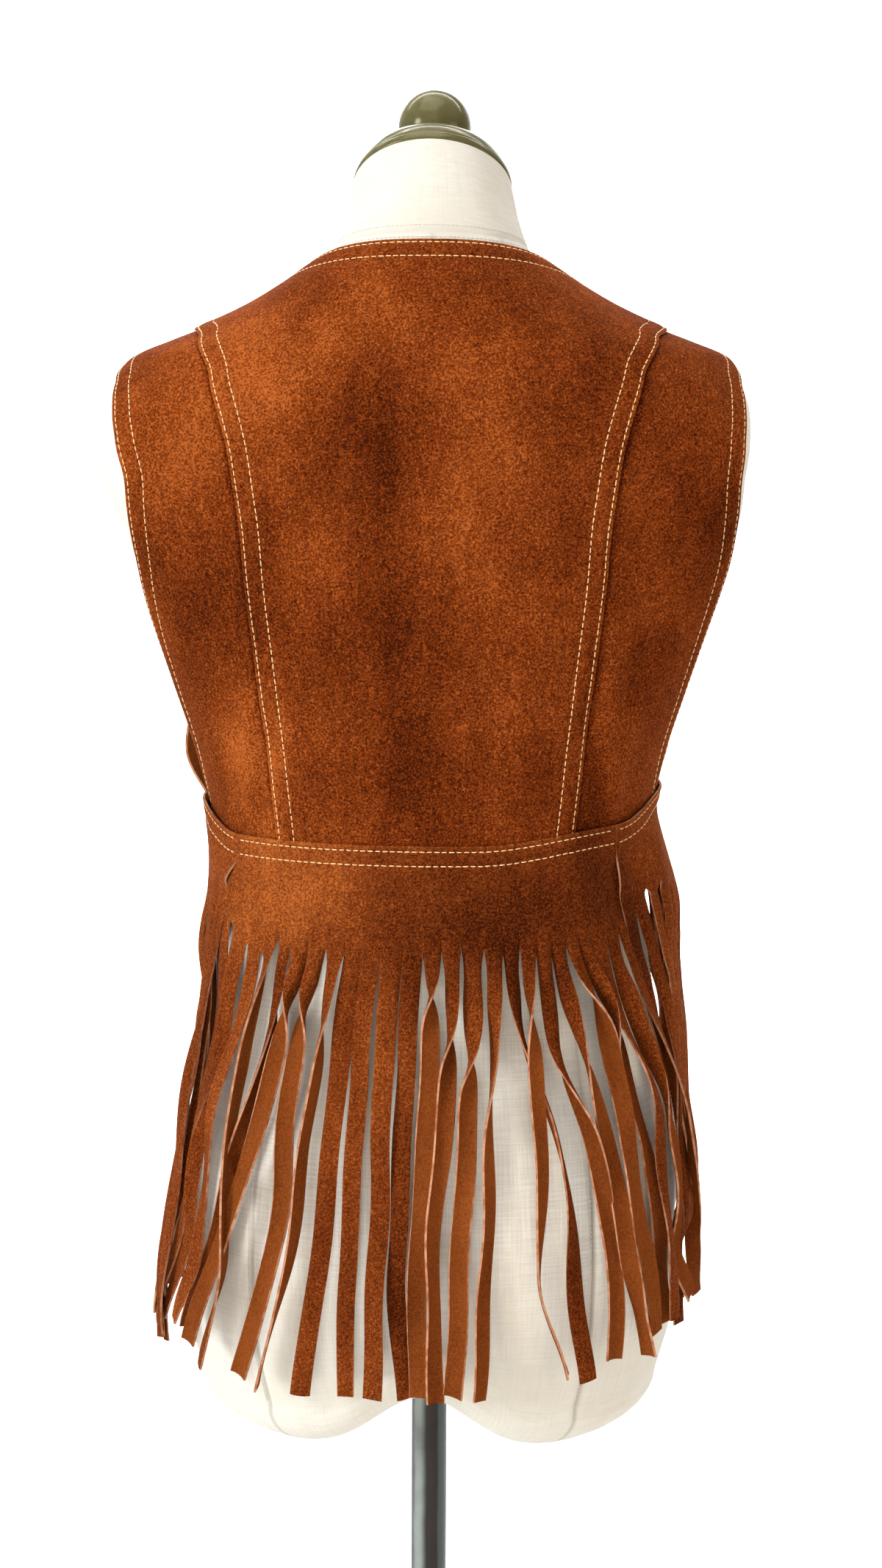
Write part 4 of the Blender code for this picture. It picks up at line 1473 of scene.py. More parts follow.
@dataclass
class BackSide(Bodice):
    """One side back, from under the centre back to the armhole."""

    side: Side = Side.LEFT
    princess: Rows = BackCentre.princess
    armhole: Rows = (
        (0.0, 0.1265), (0.02, 0.1295), (0.041, 0.134),
        (0.081, 0.146), (0.105, 0.154), (0.141, 0.1655),
        (0.165, 0.172), (0.188, 0.1765), (0.213, 0.18),
        (0.241, 0.1815), (0.256, 0.179),
    )
    left_cut: Rows = (
        (0.085, 0.0), (0.118, 0.003), (0.14, 0.008), (0.161, 0.013),
        (0.182, 0.0155), (0.204, 0.0175), (0.225, 0.013), (0.247, 0.0085), (0.268, 0.0),
    )
    crowding: float = 1.25
    lap_end: float = 4.0
    seam_shade: float = -0.6
    seam_shade_width: float = 0.0022

    def outline(self, share: Array) -> tuple[Array, Array, Array, Array]:
        """Rows fan from the princess seam out to the armhole."""
        share = 1 - (1 - share) ** self.crowding
        inner_level = -BAND_TUCK + share * (PRINCESS_TOP + BAND_TUCK)
        outer_level = -BAND_TUCK + share * (SHOULDER_END + BAND_TUCK)
        inner = BODY.seam_angle(self.princess, PRINCESS_TOP, inner_level)
        inner = inner - (1 - share ** self.lap_end) * BODY.gap_angle(inner_level, LAP_WIDTH)
        outer = BODY.seam_angle(self.armhole, SHOULDER_END, outer_level)
        outer = outer - BODY.gap_angle(outer_level, SEAM_GAP / 2)
        sign = self.side.value
        if self.side is Side.LEFT:
            outer = outer - BODY.gap_angle(outer_level, smooth(outer_level, self.left_cut))
        return sign * inner, sign * outer, inner_level, outer_level

    def lap_shadow(self, plain: Array, levels: Array) -> Array:
        """Painted shadow: a dark line along the princess seam, beside the centre back's lap edge."""
        seam = BODY.seam_angle(self.princess, PRINCESS_TOP, np.minimum(levels, PRINCESS_TOP))
        gap = np.linalg.norm(plain - BODY.vest(self.side.value * seam, levels, self.layer), axis=-1)
        return self.seam_shade * bell(gap, self.seam_shade_width)

    def turned_out(self) -> float:
        """The columns run outwards on each side."""
        return float(self.side.value)


@dataclass
class Front(Bodice):
    """One front, from the shoulder to the waist, with its half of the V neck."""

    side: Side = Side.LEFT
    split: float = 0.28
    crowding: float = 1.2
    left_gape: float = 0.0085
    gape_level: float = 0.038
    gape_height: float = 0.024
    gape_run: float = 0.028
    armhole: Rows = (
        (0.0, 0.1335), (0.041, 0.138), (0.081, 0.142),
        (0.12, 0.143), (0.16, 0.146), (0.2, 0.156),
        (0.235, 0.168),
    )

    def outline(self, share: Array) -> tuple[Array, Array, Array, Array]:
        """Rows fan from the front edge and neckline out to the armhole."""
        share = 1 - (1 - share) ** self.crowding
        low = np.clip(share / self.split, 0, 1)
        high = np.clip((share - self.split) / (1 - self.split), 0, 1)
        inner_level = -BAND_TUCK + low * (V_NECK_POINT + BAND_TUCK) + high * (NECK_SIDE - V_NECK_POINT)
        outer_level = -BAND_TUCK + share * (SHOULDER_END + BAND_TUCK)
        width = CENTRE_FRONT_GAP + high * (BODY.size("half_width", NECK_SIDE) - CENTRE_FRONT_GAP)
        inner = BODY.front_angles(width, inner_level)
        inner = np.maximum(inner, 90 + BODY.gap_angle(inner_level, SEAM_GAP / 2))
        outer = BODY.seam_angle(self.armhole, SHOULDER_END, outer_level, front=True)
        outer = outer + BODY.gap_angle(outer_level, SEAM_GAP / 2)
        sign = self.side.value
        return sign * inner, sign * outer, inner_level, outer_level

    def stand(self, levels: Array, gaps: dict[Edge, Array]) -> Array:
        """The foot of the armhole gapes on the wearer's left and lies close on the right."""
        gape = self.left_gape if self.side is Side.LEFT else 0.0
        beside = np.exp(-gaps[Edge.OUTER] / self.gape_run)
        return gape * bell(levels - self.gape_level, self.gape_height) * beside

    def turned_out(self) -> float:
        """The columns run from the centre front back to the side."""
        return -float(self.side.value)


# ---------------- the fringe


@dataclass(frozen=True)
class Strip:
    """One strip of fringe.

    Attributes:
        slit: angle of the slit on its wearer's-right side.
        path: angles of its middle at the path levels and, last, at its cut end.
        hem_level: level of its cut end.
        turns: (level, degrees) rows that twist it about its own length.
        lift: how far its middle stands off the plain layer, halfway down and below.
        tone: how much lighter it is than its neighbours.
        opens: level where the slit on its wearer's-right side begins.
        width: its width once it is clear of the band.
    """

    slit: float
    path: tuple[float, ...]
    hem_level: float
    turns: Rows = ()
    lift: float = 0.0
    tone: float = 0.0
    opens: float = -0.05
    width: float = 0.0105


PATH_LEVELS = (-0.11, -0.168, -0.238)

BACK_FRINGE = tuple(Strip(*row) for row in (
    (56.9, (59.8, 61.6, 64.6, 71.6), -0.289, ((-0.1, 8), (-0.2, 20), (-0.29, 15)),
     0.0, -0.05, -0.052, 0.0105),
    (51.5, (56.9, 59.0, 61.4, 68.5), -0.2887, ((-0.09, -10), (-0.17, -20), (-0.29, 10)),
     0.0, -0.02, -0.06, 0.0105),
    (48.0, (51.2, 54.6, 54.6, 62.1), -0.2842, ((-0.09, 10), (-0.16, 22), (-0.24, 12), (-0.3, 20)),
     0.004, 0.08, -0.068, 0.0105),
    (43.3, (46.2, 47.7, 46.4, 53.3), -0.3005, ((-0.07, 40), (-0.1, 78), (-0.16, 86), (-0.24, 70),
     (-0.3, 40)), 0.006, 0.05, -0.05, 0.01),
    (40.1, (41.8, 45.8, 52.0, 57.8), -0.2857, ((-0.07, 20), (-0.11, 70), (-0.15, 120), (-0.2, 150),
     (-0.3, 160)), 0.001, -0.2, -0.056, 0.01),
    (35.0, (37.9, 41.5, 48.7, 56.6), -0.2911, ((-0.076, -22), (-0.11, -158), (-0.15, -185), (-0.23, -170),
     (-0.31, -190)), 0.008, 0.04, -0.052, 0.01),
    (29.8, (33.4, 34.3, 35.6, 44.4), -0.3013, ((-0.076, -25), (-0.113, -160), (-0.15, -180), (-0.31, -170)),
     0.007, 0.05, -0.055, 0.0106),
    (23.8, (27.7, 29.4, 31.8, 39.5), -0.3047, ((-0.07, 25), (-0.105, 68), (-0.13, 105), (-0.18, 125),
     (-0.23, 95), (-0.31, 82)), 0.003, 0.0, -0.049, 0.0095),
    (19.3, (22.6, 23.4, 25.1, 30.0), -0.3065, ((-0.09, -8), (-0.18, 10), (-0.31, -14)),
     0.003, -0.04, -0.057, 0.0108),
    (13.1, (17.2, 17.5, 18.1, 19.0), -0.3057, ((-0.09, 6), (-0.18, -6), (-0.31, 10)),
     0.001, -0.02, -0.049, 0.0106),
    (6.4, (10.7, 10.5, 10.8, 12.3), -0.3069, ((-0.09, -10), (-0.185, 5), (-0.31, 12)),
     0.003, 0.02, -0.05, 0.0112),
    (0.0, (4.3, 4.8, 5.8, 3.6), -0.3045, ((-0.1, 10), (-0.2, 18), (-0.31, -16)),
     0.001, -0.1, -0.059, 0.0104),
    (-6.0, (-2.6, -1.5, 0.5, 0.2), -0.3032, ((-0.07, 20), (-0.1, 150), (-0.13, 172), (-0.31, 180)),
     0.005, 0.02, -0.051, 0.0104),
    (-12.3, (-8.4, -5.8, -3.3, -4.8), -0.3063, ((-0.07, 15), (-0.105, 75), (-0.125, 140), (-0.2, 152),
     (-0.25, 125), (-0.31, 165)), 0.004, 0.0, -0.049, 0.01),
    (-19.3, (-14.4, -12.1, -10.2, -9.1), -0.3021, ((-0.09, 12), (-0.115, 60), (-0.137, 150), (-0.17, 178),
     (-0.31, 188)), 0.006, 0.03, -0.053, 0.0105),
    (-25.0, (-20.3, -18.1, -16.8, -15.4), -0.3045, ((-0.075, 20), (-0.11, 70), (-0.14, 100), (-0.19, 135),
     (-0.31, 145)), 0.004, 0.02, -0.05, 0.0095),
    (-29.5, (-28.1, -35.6, -37.8, -41.8), -0.3033, ((-0.075, -20), (-0.105, -70), (-0.14, -95),
     (-0.19, -60), (-0.24, -20), (-0.31, 8)), -0.002, -0.16, -0.046, 0.0102),
    (-34.3, (-30.5, -30.6, -28.8, -35.5), -0.2938, ((-0.07, 25), (-0.103, 120), (-0.13, 172), (-0.19, 150),
     (-0.23, 110), (-0.27, 100), (-0.31, 130)), 0.007, 0.04, -0.049, 0.0093),
    (-38.4, (-36.1, -42.5, -46.4, -46.8), -0.291, ((-0.08, -10), (-0.115, -35), (-0.14, -80),
     (-0.165, -130), (-0.2, -165), (-0.3, -178)), 0.004, 0.0, -0.046, 0.0095),
    (-42.3, (-41.7, -46.3, -49.4, -53.6), -0.2911, ((-0.075, 20), (-0.11, 80), (-0.14, 140), (-0.19, 178),
     (-0.24, 215), (-0.27, 260), (-0.31, 255)), 0.006, 0.03, -0.043, 0.0105),
    (-45.6, (-48.6, -50.4, -53.4, -55.4), -0.2796, ((-0.075, -15), (-0.11, -120), (-0.14, -165),
     (-0.2, -185), (-0.3, -180)), 0.009, 0.02, -0.046, 0.0115),
    (-49.4, (-52.4, -56.2, -59.3, -60.2), -0.2798, ((-0.07, 20), (-0.105, 110), (-0.14, 160), (-0.2, 180),
     (-0.28, 200)), 0.003, -0.06, -0.04, 0.0105),
    (-54.0, (-54.8, -59.9, -59.8, -61.5), -0.2771, ((-0.08, -10), (-0.13, -35), (-0.2, -12), (-0.285, -20)),
     0.007, -0.04, -0.044, 0.0102),
    (-57.6, (-58.1, -64.7, -63.5, -69.8), -0.2726, ((-0.07, 12), (-0.12, 80), (-0.19, 165), (-0.28, 182)),
     0.005, 0.02, -0.042, 0.0102),
    (-59.5, (-66.0, -71.0, -77.0, -82.0), -0.286, ((-0.08, -10), (-0.14, -30), (-0.22, -60),
     (-0.285, -150)), 0.004, -0.02, -0.044, 0.01),
))


BAND_FOLDS = tuple(Fold(*row) for row in (
    ((-44, -0.002), (-50, -0.052), 0.0018, 0.01, 0.0, 0.04),
    ((30, -0.004), (26, -0.054), 0.0012, 0.012, 0.0, 0.03),
    ((4, -0.01), (6, -0.056), -0.001, 0.012, 0.0, -0.05),
    ((-20, -0.006), (-16, -0.05), 0.0012, 0.011, 0.0, 0.02),
    ((75, 0.006), (70, -0.05), 0.0016, 0.01, 0.0, 0.02),
    ((-78, 0.006), (-72, -0.05), 0.0016, 0.01, 0.0, 0.02),
    ((118, 0.01), (122, -0.05), 0.0016, 0.012, 0.0, 0.02),
    ((-122, 0.01), (-116, -0.05), 0.0016, 0.012, 0.0, 0.02),
    ((150, 0.01), (146, -0.05), 0.0014, 0.012, 0.0, 0.02),
    ((-146, 0.01), (-152, -0.05), 0.0014, 0.012, 0.0, 0.02),
))


@dataclass(frozen=True)
class Oddness:
    """The small differences drawn for one strip."""

    phase: float
    sway: float
    ripple: float
    ripple_rate: float
    cup: float
    lips: Pair
    end_cut: float

    @classmethod
    def drawn(cls, rng: random.Random) -> "Oddness":
        """Draws one strip's differences."""
        return cls(rng.uniform(0, 6.28), rng.uniform(0.3, 1.0), rng.uniform(5.0, 15.0), rng.uniform(45, 75),
                   rng.uniform(-0.7, 1.3), (rng.uniform(0.2, 1.0), rng.uniform(0.2, 1.0)),
                   rng.uniform(-0.0012, 0.0012))


@dataclass(frozen=True)
class Manner:
    """How all strips hang. Rates are radians a metre, and a zone is the level it starts at and its run."""

    zone_step: float = 0.002
    zone_depth: float = 0.036
    strip_step: float = 0.0042
    above: float = 0.05
    beyond: float = 0.01
    still: float = 0.008
    widening: float = 0.04
    free_start: float = 0.004
    free_run: float = 0.03
    sway: float = 0.35
    sway_rate: float = 70.0
    sway_zone: Pair = (-0.08, 0.06)
    ripple_share: float = 2.3
    ripple_run: float = 0.05
    lift_zone: Pair = (-0.066, 0.06)
    float_height: float = 0.0016
    float_share: float = 1.7
    float_rate: float = 60.0
    twist_lift: float = 0.75
    held_lift: float = 0.0008
    loose_lift: float = 0.02
    root_end: float = -0.125
    root_turn: float = 70.0
    petal: float = 0.3
    petal_level: float = -0.072
    petal_run: float = 0.014
    open_run: float = 0.007
    open_narrowing: float = 0.05
    cup: float = 0.0011
    cup_level: float = 0.4
    lip: float = 0.0022
    lip_run: float = 0.05
    lip_least: float = 0.25
    settle_run: float = 0.01
    darkening: float = 0.08
    rim: float = 0.1
    patchiness: float = 0.05
    patch_rate: float = 37.0


@dataclass(frozen=True)
class Course:
    """A strip's course: its levels from the band down, and for each its middle, ways and half width."""

    levels: Array
    base: Array
    down: Array
    flat_way: Array
    face_way: Array
    half: Array
    free: Array
    petal: Array


@dataclass
class FringePanel:
    """A waist panel: an uncut band, cut into strips below, each hanging in its own way."""

    name: str
    node: str
    start: float
    end: float
    strips: tuple[Strip, ...]
    wardrobe: Wardrobe
    flat: Pair
    seed: int
    slit_rise: float = 0.0
    corner_pull: Pair = (0.0, 0.0)
    corner_curl: Pair = (0.0, 0.0)
    side_fit: Rows = ((-0.3, 0.0), (0.0, 0.0))
    side_from: Pair = (63.0, 13.0)
    side_to: Pair = (100.0, 30.0)
    layer: int = 2
    manner: Manner = Manner()
    edges: EdgeShape = EdgeShape(0.00045, 0.0009, swell_inset=0.007, thin=0.0003, pale=0.18)
    lowest_split: float = -0.046
    band: tuple[float, ...] = (0.0, 0.0007, 0.0015, 0.0023, 0.003, 0.0037, 0.0046, 0.0064, 0.0086, 0.0102,
                               0.011, 0.0118, 0.013)
    lower_rows: int = 12
    across: tuple[float, ...] = (-1.0, -0.86, -0.5, 0.0, 0.5, 0.86, 1.0)
    rows_of_stitches: tuple[float, ...] = (0.003, 0.0111)
    unsewn: int = 2
    pull_run: float = 0.022
    pull_width: float = 6.0
    curl_run: float = 0.018
    curl_width: float = 2.4
    slit_wander: float = 0.0024
    wander_rate: float = 2.4
    lines: list[tuple[Array, Array]] = field(default_factory=list)
    points: list[Array] = field(default_factory=list)
    shades: list[float] = field(default_factory=list)
    faces: list[tuple[int, int, int, int]] = field(default_factory=list)

    @property
    def split_level(self) -> float:
        """Level of the band's last whole row."""
        return self.lowest_split + self.slit_rise

    def pulled(self, degrees: Array, level: Array) -> Array:
        """Angles of the band, drawn forwards at the corners where two panels meet."""
        free = below(level, waist_level(degrees) - self.band[-1], self.pull_run)
        moved = np.asarray(degrees, dtype=float).copy()
        for corner, pull in zip((self.start, self.end), self.corner_pull):
            moved += np.sign(corner) * pull * free * np.exp(-np.abs(degrees - corner) / self.pull_width)
        return moved

    def fitted(self, degrees: Array, level: Array) -> tuple[Array, Array]:
        """How far the panel stands off at the wearer's side, and how firmly it is held there, 0 to 1."""
        onto, off = (ease((np.abs(degrees) - start) / run) for start, run in (self.side_from, self.side_to))
        held = onto * (1 - off)
        return smooth(level, self.side_fit) * held, held

    def relief(self, degrees: Array, level: Array, plain: Array) -> Array:
        """How far the band stands off its plain layer: folds, sewn grooves and curled corners."""
        depth = waist_level(degrees) - level
        height = fold_field(plain, BAND_FOLDS)[0]
        for inset in self.rows_of_stitches:
            height -= self.edges.sewn(depth, inset)
        height += self.edges.swelling(depth) - self.edges.thinned(np.maximum(depth, 0))
        free = ease((depth - self.band[-1]) / self.curl_run)
        for corner, curl in zip((self.start, self.end), self.corner_curl):
            height += curl * free * np.exp(-np.abs(degrees - corner) / self.curl_width)
        return height + self.fitted(degrees, level)[0]

    def build(self) -> Object:
        """Builds the panel: strips run from the end angle down to the start angle."""
        rng = random.Random(self.seed)
        slits = np.array([self.end] + [strip.slit for strip in self.strips])
        gores = len(self.across) - 1
        wide = len(self.strips) * gores + 1
        shares = np.array(self.across[:-1]) / 2 + 0.5
        angles = (slits[:-1, None] + np.diff(slits)[:, None] * shares).ravel()
        angles = np.concatenate([angles, slits[-1:]])
        top = waist_level(angles)
        upper = top - np.array(self.band)[:, None]
        lower = np.arange(1, self.lower_rows + 1)[:, None] / self.lower_rows
        levels = np.concatenate([upper, upper[-1] + (self.split_level - upper[-1]) * lower])
        degrees = self.pulled(np.broadcast_to(angles, levels.shape), levels)
        plain = BODY.vest(degrees, levels, self.layer)
        band = BODY.vest(degrees, levels, self.layer, self.relief(degrees, levels, plain))
        # The folds' painted shade joins the nap clouds and the pale top rim.
        shade = patch_field(plain) + fold_field(plain, BAND_FOLDS)[1] + self.edges.paled(top - levels)
        self.points, self.shades = list(band.reshape(-1, 3)), list(shade.ravel())
        last = (len(levels) - 1) * wide
        self.faces = [(a + wide, a + wide + 1, a + 1, a) for row in range(0, last, wide)
                      for a in range(row, row + wide - 1)]
        normals = outward(band[::-1, ::-1])[::-1, ::-1]
        sewn = slice(self.unsewn, -self.unsewn)
        for inset in self.rows_of_stitches:
            row = int(np.abs(np.array(self.band) - inset).argmin())
            self.lines.append((band[row, sewn] + normals[row, sewn] * CLOTH, normals[row, sewn]))
        joined: dict[tuple[int, int], int] = {}
        for k in range(len(self.strips)):
            corners = list(range(last + k * gores, last + (k + 1) * gores + 1))
            self.hang(k, (slits[k], slits[k + 1]), corners, joined, Oddness.drawn(rng))
        made = suede_wall(self.name, np.array(self.points), self.faces, np.array(self.shades), self.wardrobe,
                          self.wardrobe.fringe)
        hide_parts(self.node)
        return made

    def course(self, strip: Strip, slits: Pair, zone: Array, odd: Oddness) -> Course:
        """Works out where a strip runs and how it twists.

        Args:
            strip: how it hangs.
            slits: angles of the slits on its wearer's-left side and on its other side.
            zone: levels where it may still be joined to the strips beside it.
            odd: its small differences.

        Returns:
            Its course.
        """
        m, split = self.manner, self.split_level
        count = int(math.ceil((zone[-1] - strip.hem_level) / m.strip_step))
        levels = np.concatenate([zone, np.linspace(zone[-1], strip.hem_level, count + 1)[1:]])
        middle = sum(slits) / 2
        middle_top = float(self.pulled(np.array(middle), np.array(split)))
        centre = smooth(levels, [(m.above, middle_top), (split, middle_top), *zip(PATH_LEVELS, strip.path),
                                 (strip.hem_level, strip.path[-1])])
        swaying = m.sway * odd.sway * np.sin(odd.phase + levels * m.sway_rate)
        centre = centre + swaying * below(levels, *m.sway_zone)
        turns = [(m.above, 0.0), (split, 0.0), (split - m.still, 0.0), *strip.turns]
        if strip.turns[-1][0] > strip.hem_level:
            turns.append((strip.hem_level - m.beyond, strip.turns[-1][1]))
        twist = np.radians(smooth(levels, turns))
        free = below(levels, split - m.free_start, m.free_run)
        rolled = float(np.abs(twist[levels > m.root_end]).max()) / math.radians(m.root_turn)
        petal = min(rolled, 1.0) * m.petal * bell(levels - m.petal_level, m.petal_run)
        ripple = odd.ripple * np.sin(odd.phase * m.ripple_share + levels * odd.ripple_rate)
        twist = twist + np.radians(ripple) * below(levels, split - m.zone_depth, m.ripple_run)
        step = BODY.vest(np.stack([centre - 0.5, centre + 0.5]), np.stack([levels, levels]), self.layer)
        around = step[1] - step[0]
        per_degree = np.linalg.norm(around, axis=1)
        half = abs(slits[0] - slits[1]) / 2 * float(np.interp(split, levels[::-1], per_degree[::-1]))
        half = half + (strip.width / 2 - half) * below(levels, split - m.still, m.widening)
        lift = strip.lift * below(levels, *m.lift_zone)
        floating = np.sin(odd.phase * m.float_share + levels * m.float_rate)
        lift = lift + m.float_height * floating * free * odd.sway
        lift = lift + m.twist_lift * half * np.abs(np.sin(twist))
        stand_off, held = self.fitted(centre, levels)
        lift = np.minimum(lift, m.held_lift + m.loose_lift * (1 - held)) + stand_off
        base = BODY.vest(centre, levels, self.layer, lift)
        down = unit(np.gradient(base, axis=0))
        out = unit(np.cross(unit(around), -down))
        around = np.cross(-down, out)
        cosine, sine = np.cos(twist)[:, None], np.sin(twist)[:, None]
        flat_way, face_way = around * cosine + out * sine, out * cosine - around * sine
        return Course(levels, base, down, flat_way, face_way, half, free, petal)

    def hang(self, k: int, slits: Pair, top: list[int], joined: dict[tuple[int, int], int],
             odd: Oddness) -> None:
        """Adds one strip below the band.

        Args:
            k: the strip's number.
            slits: angles of the slits on its wearer's-left side and on its other side.
            top: corner numbers of the band's last row.
            joined: corners shared with the strip before, by slit and row.
            odd: its small differences.
        """
        m, split, strip = self.manner, self.split_level, self.strips[k]
        zone = np.arange(split, split - m.zone_depth, -m.zone_step)[1:]
        run = self.course(strip, slits, zone, odd)
        # Nap clouds, some of them painted light and shade, carried onto the strip.
        nap = patch_field(run.base)
        uncut = self.flat_points(slits, zone)
        above = top
        for i, level in enumerate(run.levels):
            row = []
            for j, u in enumerate(self.across):
                slit = k if u < 0 else k + 1
                opens = self.opening(slit)
                shared = abs(u) == 1.0 and 0 < slit < len(self.strips) and level > opens
                if shared and (slit, i) in joined:
                    row.append(joined[slit, i])
                    continue
                opened = float(below(level, opens, m.open_run))
                narrow = 1.0 - (m.open_narrowing + run.petal[i]) * opened
                cup = m.cup * odd.cup * run.free[i] * (u * u - m.cup_level)
                lip = m.lip * opened * abs(u) ** 5 * odd.lips[u >= 0]
                lip *= math.exp(-max(split - level, 0) / m.lip_run) + m.lip_least
                point = run.base[i] - run.flat_way[i] * u * run.half[i] * narrow
                point = point + run.face_way[i] * (cup + lip)
                if i == len(run.levels) - 1:
                    point = point + run.down[i] * odd.end_cut * u
                if i < len(zone):
                    settle = 0.0 if shared else float(below(level, split, m.settle_run))
                    point = uncut[i, j] * (1 - settle) + point * settle
                row.append(len(self.points))
                if shared:
                    joined[slit, i] = row[-1]
                self.points.append(point)
                self.shades.append((strip.tone - m.darkening) * float(run.free[i]) + float(nap[i])
                                   + m.rim * abs(u) ** 6
                                   + m.patchiness * math.sin(odd.phase + level * m.patch_rate))
            self.faces += [(row[j], row[j + 1], above[j + 1], above[j]) for j in range(len(row) - 1)]
            above = row

    def opening(self, slit: int) -> float:
        """Level where a slit begins; the panel's own ends are open all the way."""
        if slit in (0, len(self.strips)):
            return self.split_level + self.manner.above
        return (self.strips[slit - 1].opens + self.slit_rise
                + self.slit_wander * math.sin(slit * self.wander_rate))

    def flat_points(self, slits: Pair, levels: Array) -> Array:
        """Where the top of a strip would lie if the panel weren't cut."""
        degrees = slits[0] + (slits[1] - slits[0]) * (np.array(self.across) / 2 + 0.5)
        degrees, levels = np.meshgrid(degrees, levels)
        degrees = self.pulled(degrees, levels)
        plain = BODY.vest(degrees, levels, self.layer)
        return BODY.vest(degrees, levels, self.layer, self.relief(degrees, levels, plain))


@dataclass(frozen=True)
class FrontCut:
    """How the strips of a front waist panel are cut and hang. Angles are degrees."""

    side: Side
    count: int = 25
    hem: float = -0.299
    hem_spread: Pair = (-0.006, 0.005)
    width: float = 0.0092
    drift: float = 1.3
    drift_shares: tuple[float, ...] = (0.35, 0.6, 0.9, 1.0)
    sweep: float = 4.5
    sweep_middle: float = 64.0
    sweep_run: float = 16.0
    sweep_shares: tuple[float, ...] = (0.25, 0.5, 0.8, 1.0)
    corner_swing: tuple[float, ...] = (3.4, 5.4, 3.0)
    swing_shares: tuple[float, ...] = (1.0, 0.75, 0.4, 0.1)
    straight_share: float = 0.5
    over_share: float = 0.8
    straight_before: float = 100.0
    roll_level: Pair = (-0.1, -0.135)
    roll_run: float = 0.03
    gentle: tuple[tuple[float, int, float], ...] = ((-0.09, 1, 14), (-0.18, -1, 26), (-0.29, 1, 24))
    gentle_least: float = 4.0
    shorter: float = 0.022
    shorter_middle: float = -78.0
    shorter_width: float = 18.0
    short_strip: float = -84.0
    short_reach: float = 2.2
    short_by: float = 0.062
    lifts: tuple[float, ...] = (0.001, 0.003, 0.006)
    tones: Pair = (-0.22, 0.04)

    def turns(self, middle: float, rng: random.Random) -> Rows:
        """Draws how one strip twists: hardly, right over, or on edge.

        Args:
            middle: angle of its middle.
            rng: draws the twist.

        Returns:
            (level, degrees) rows.
        """
        kind, sign, level = rng.random(), rng.choice((-1, 1)), rng.uniform(*self.roll_level)
        if kind < self.straight_share or abs(middle) < self.straight_before:
            return tuple((at, sign * way * rng.uniform(self.gentle_least, most))
                         for at, way, most in self.gentle)
        if kind < self.over_share:
            low, lowest = (-0.19, 182.0), (-0.29, rng.uniform(165, 190))
            rows = ((level + self.roll_run, 18.0), (level, 160.0), low, lowest)
        else:
            low, lowest = (-0.2, rng.uniform(60, 110)), (-0.29, rng.uniform(30, 80))
            rows = ((level + self.roll_run, 15.0), (level, 62.0), low, lowest)
        return tuple((at, sign * turn) for at, turn in rows)

    def path(self, middle: float, away: int, drift: float) -> tuple[float, ...]:
        """A strip's course.

        Args:
            middle: angle of its middle at the band.
            away: how many strips it is from the back corner.
            drift: how far it drifts by itself.

        Returns:
            The angles of its middle at the path levels and at its cut end.
        """
        sweep = self.sweep * math.exp(-abs(abs(middle) - self.sweep_middle) / self.sweep_run)
        swing = self.corner_swing[away] if away < len(self.corner_swing) else 0.0
        side = self.side.value
        shares = zip(self.drift_shares, self.sweep_shares, self.swing_shares)
        return tuple(float(middle + drift * a + side * (sweep * b + swing * c)) for a, b, c in shares)

    def strips(self, start: float, end: float, seed: int) -> tuple[Strip, ...]:
        """Cuts the panel.

        Args:
            start: its lowest angle.
            end: its highest angle.
            seed: seeds the strips' differences.

        Returns:
            The strips, from the end angle down to the start angle.
        """
        rng = random.Random(seed)
        edges = BODY.equal_steps(start, end, self.count, SLIT_LEVEL)[::-1]
        made = []
        for k in range(self.count):
            middle = (edges[k] + edges[k + 1]) / 2
            drift = rng.gauss(0.0, self.drift)
            turns = self.turns(middle, rng)
            shorter = self.shorter * bell(middle - self.shorter_middle, self.shorter_width)
            if abs(middle - self.short_strip) < self.short_reach:
                shorter = self.short_by
            away = k if abs(end) < abs(start) else self.count - 1 - k
            made.append(Strip(float(edges[k + 1]), self.path(middle, away, drift),
                              self.hem + shorter + rng.uniform(*self.hem_spread), turns,
                              rng.choice(self.lifts), rng.uniform(*self.tones), width=self.width))
        return tuple(made)


SIDE_FIT = {
    Side.LEFT: ((0.0, 0.0), (-0.04, -0.005), (-0.075, -0.0035), (-0.12, -0.0065), (-0.22, -0.0065),
                (-0.26, -0.004), (-0.3, -0.002)),
    Side.RIGHT: ((0.012, -0.0012), (-0.02, 0.0058), (-0.05, 0.0088), (-0.09, 0.0052), (-0.13, 0.003),
                 (-0.18, -0.003), (-0.225, -0.0012), (-0.255, -0.0115), (-0.29, -0.008)),
}


# ---------------- the vest


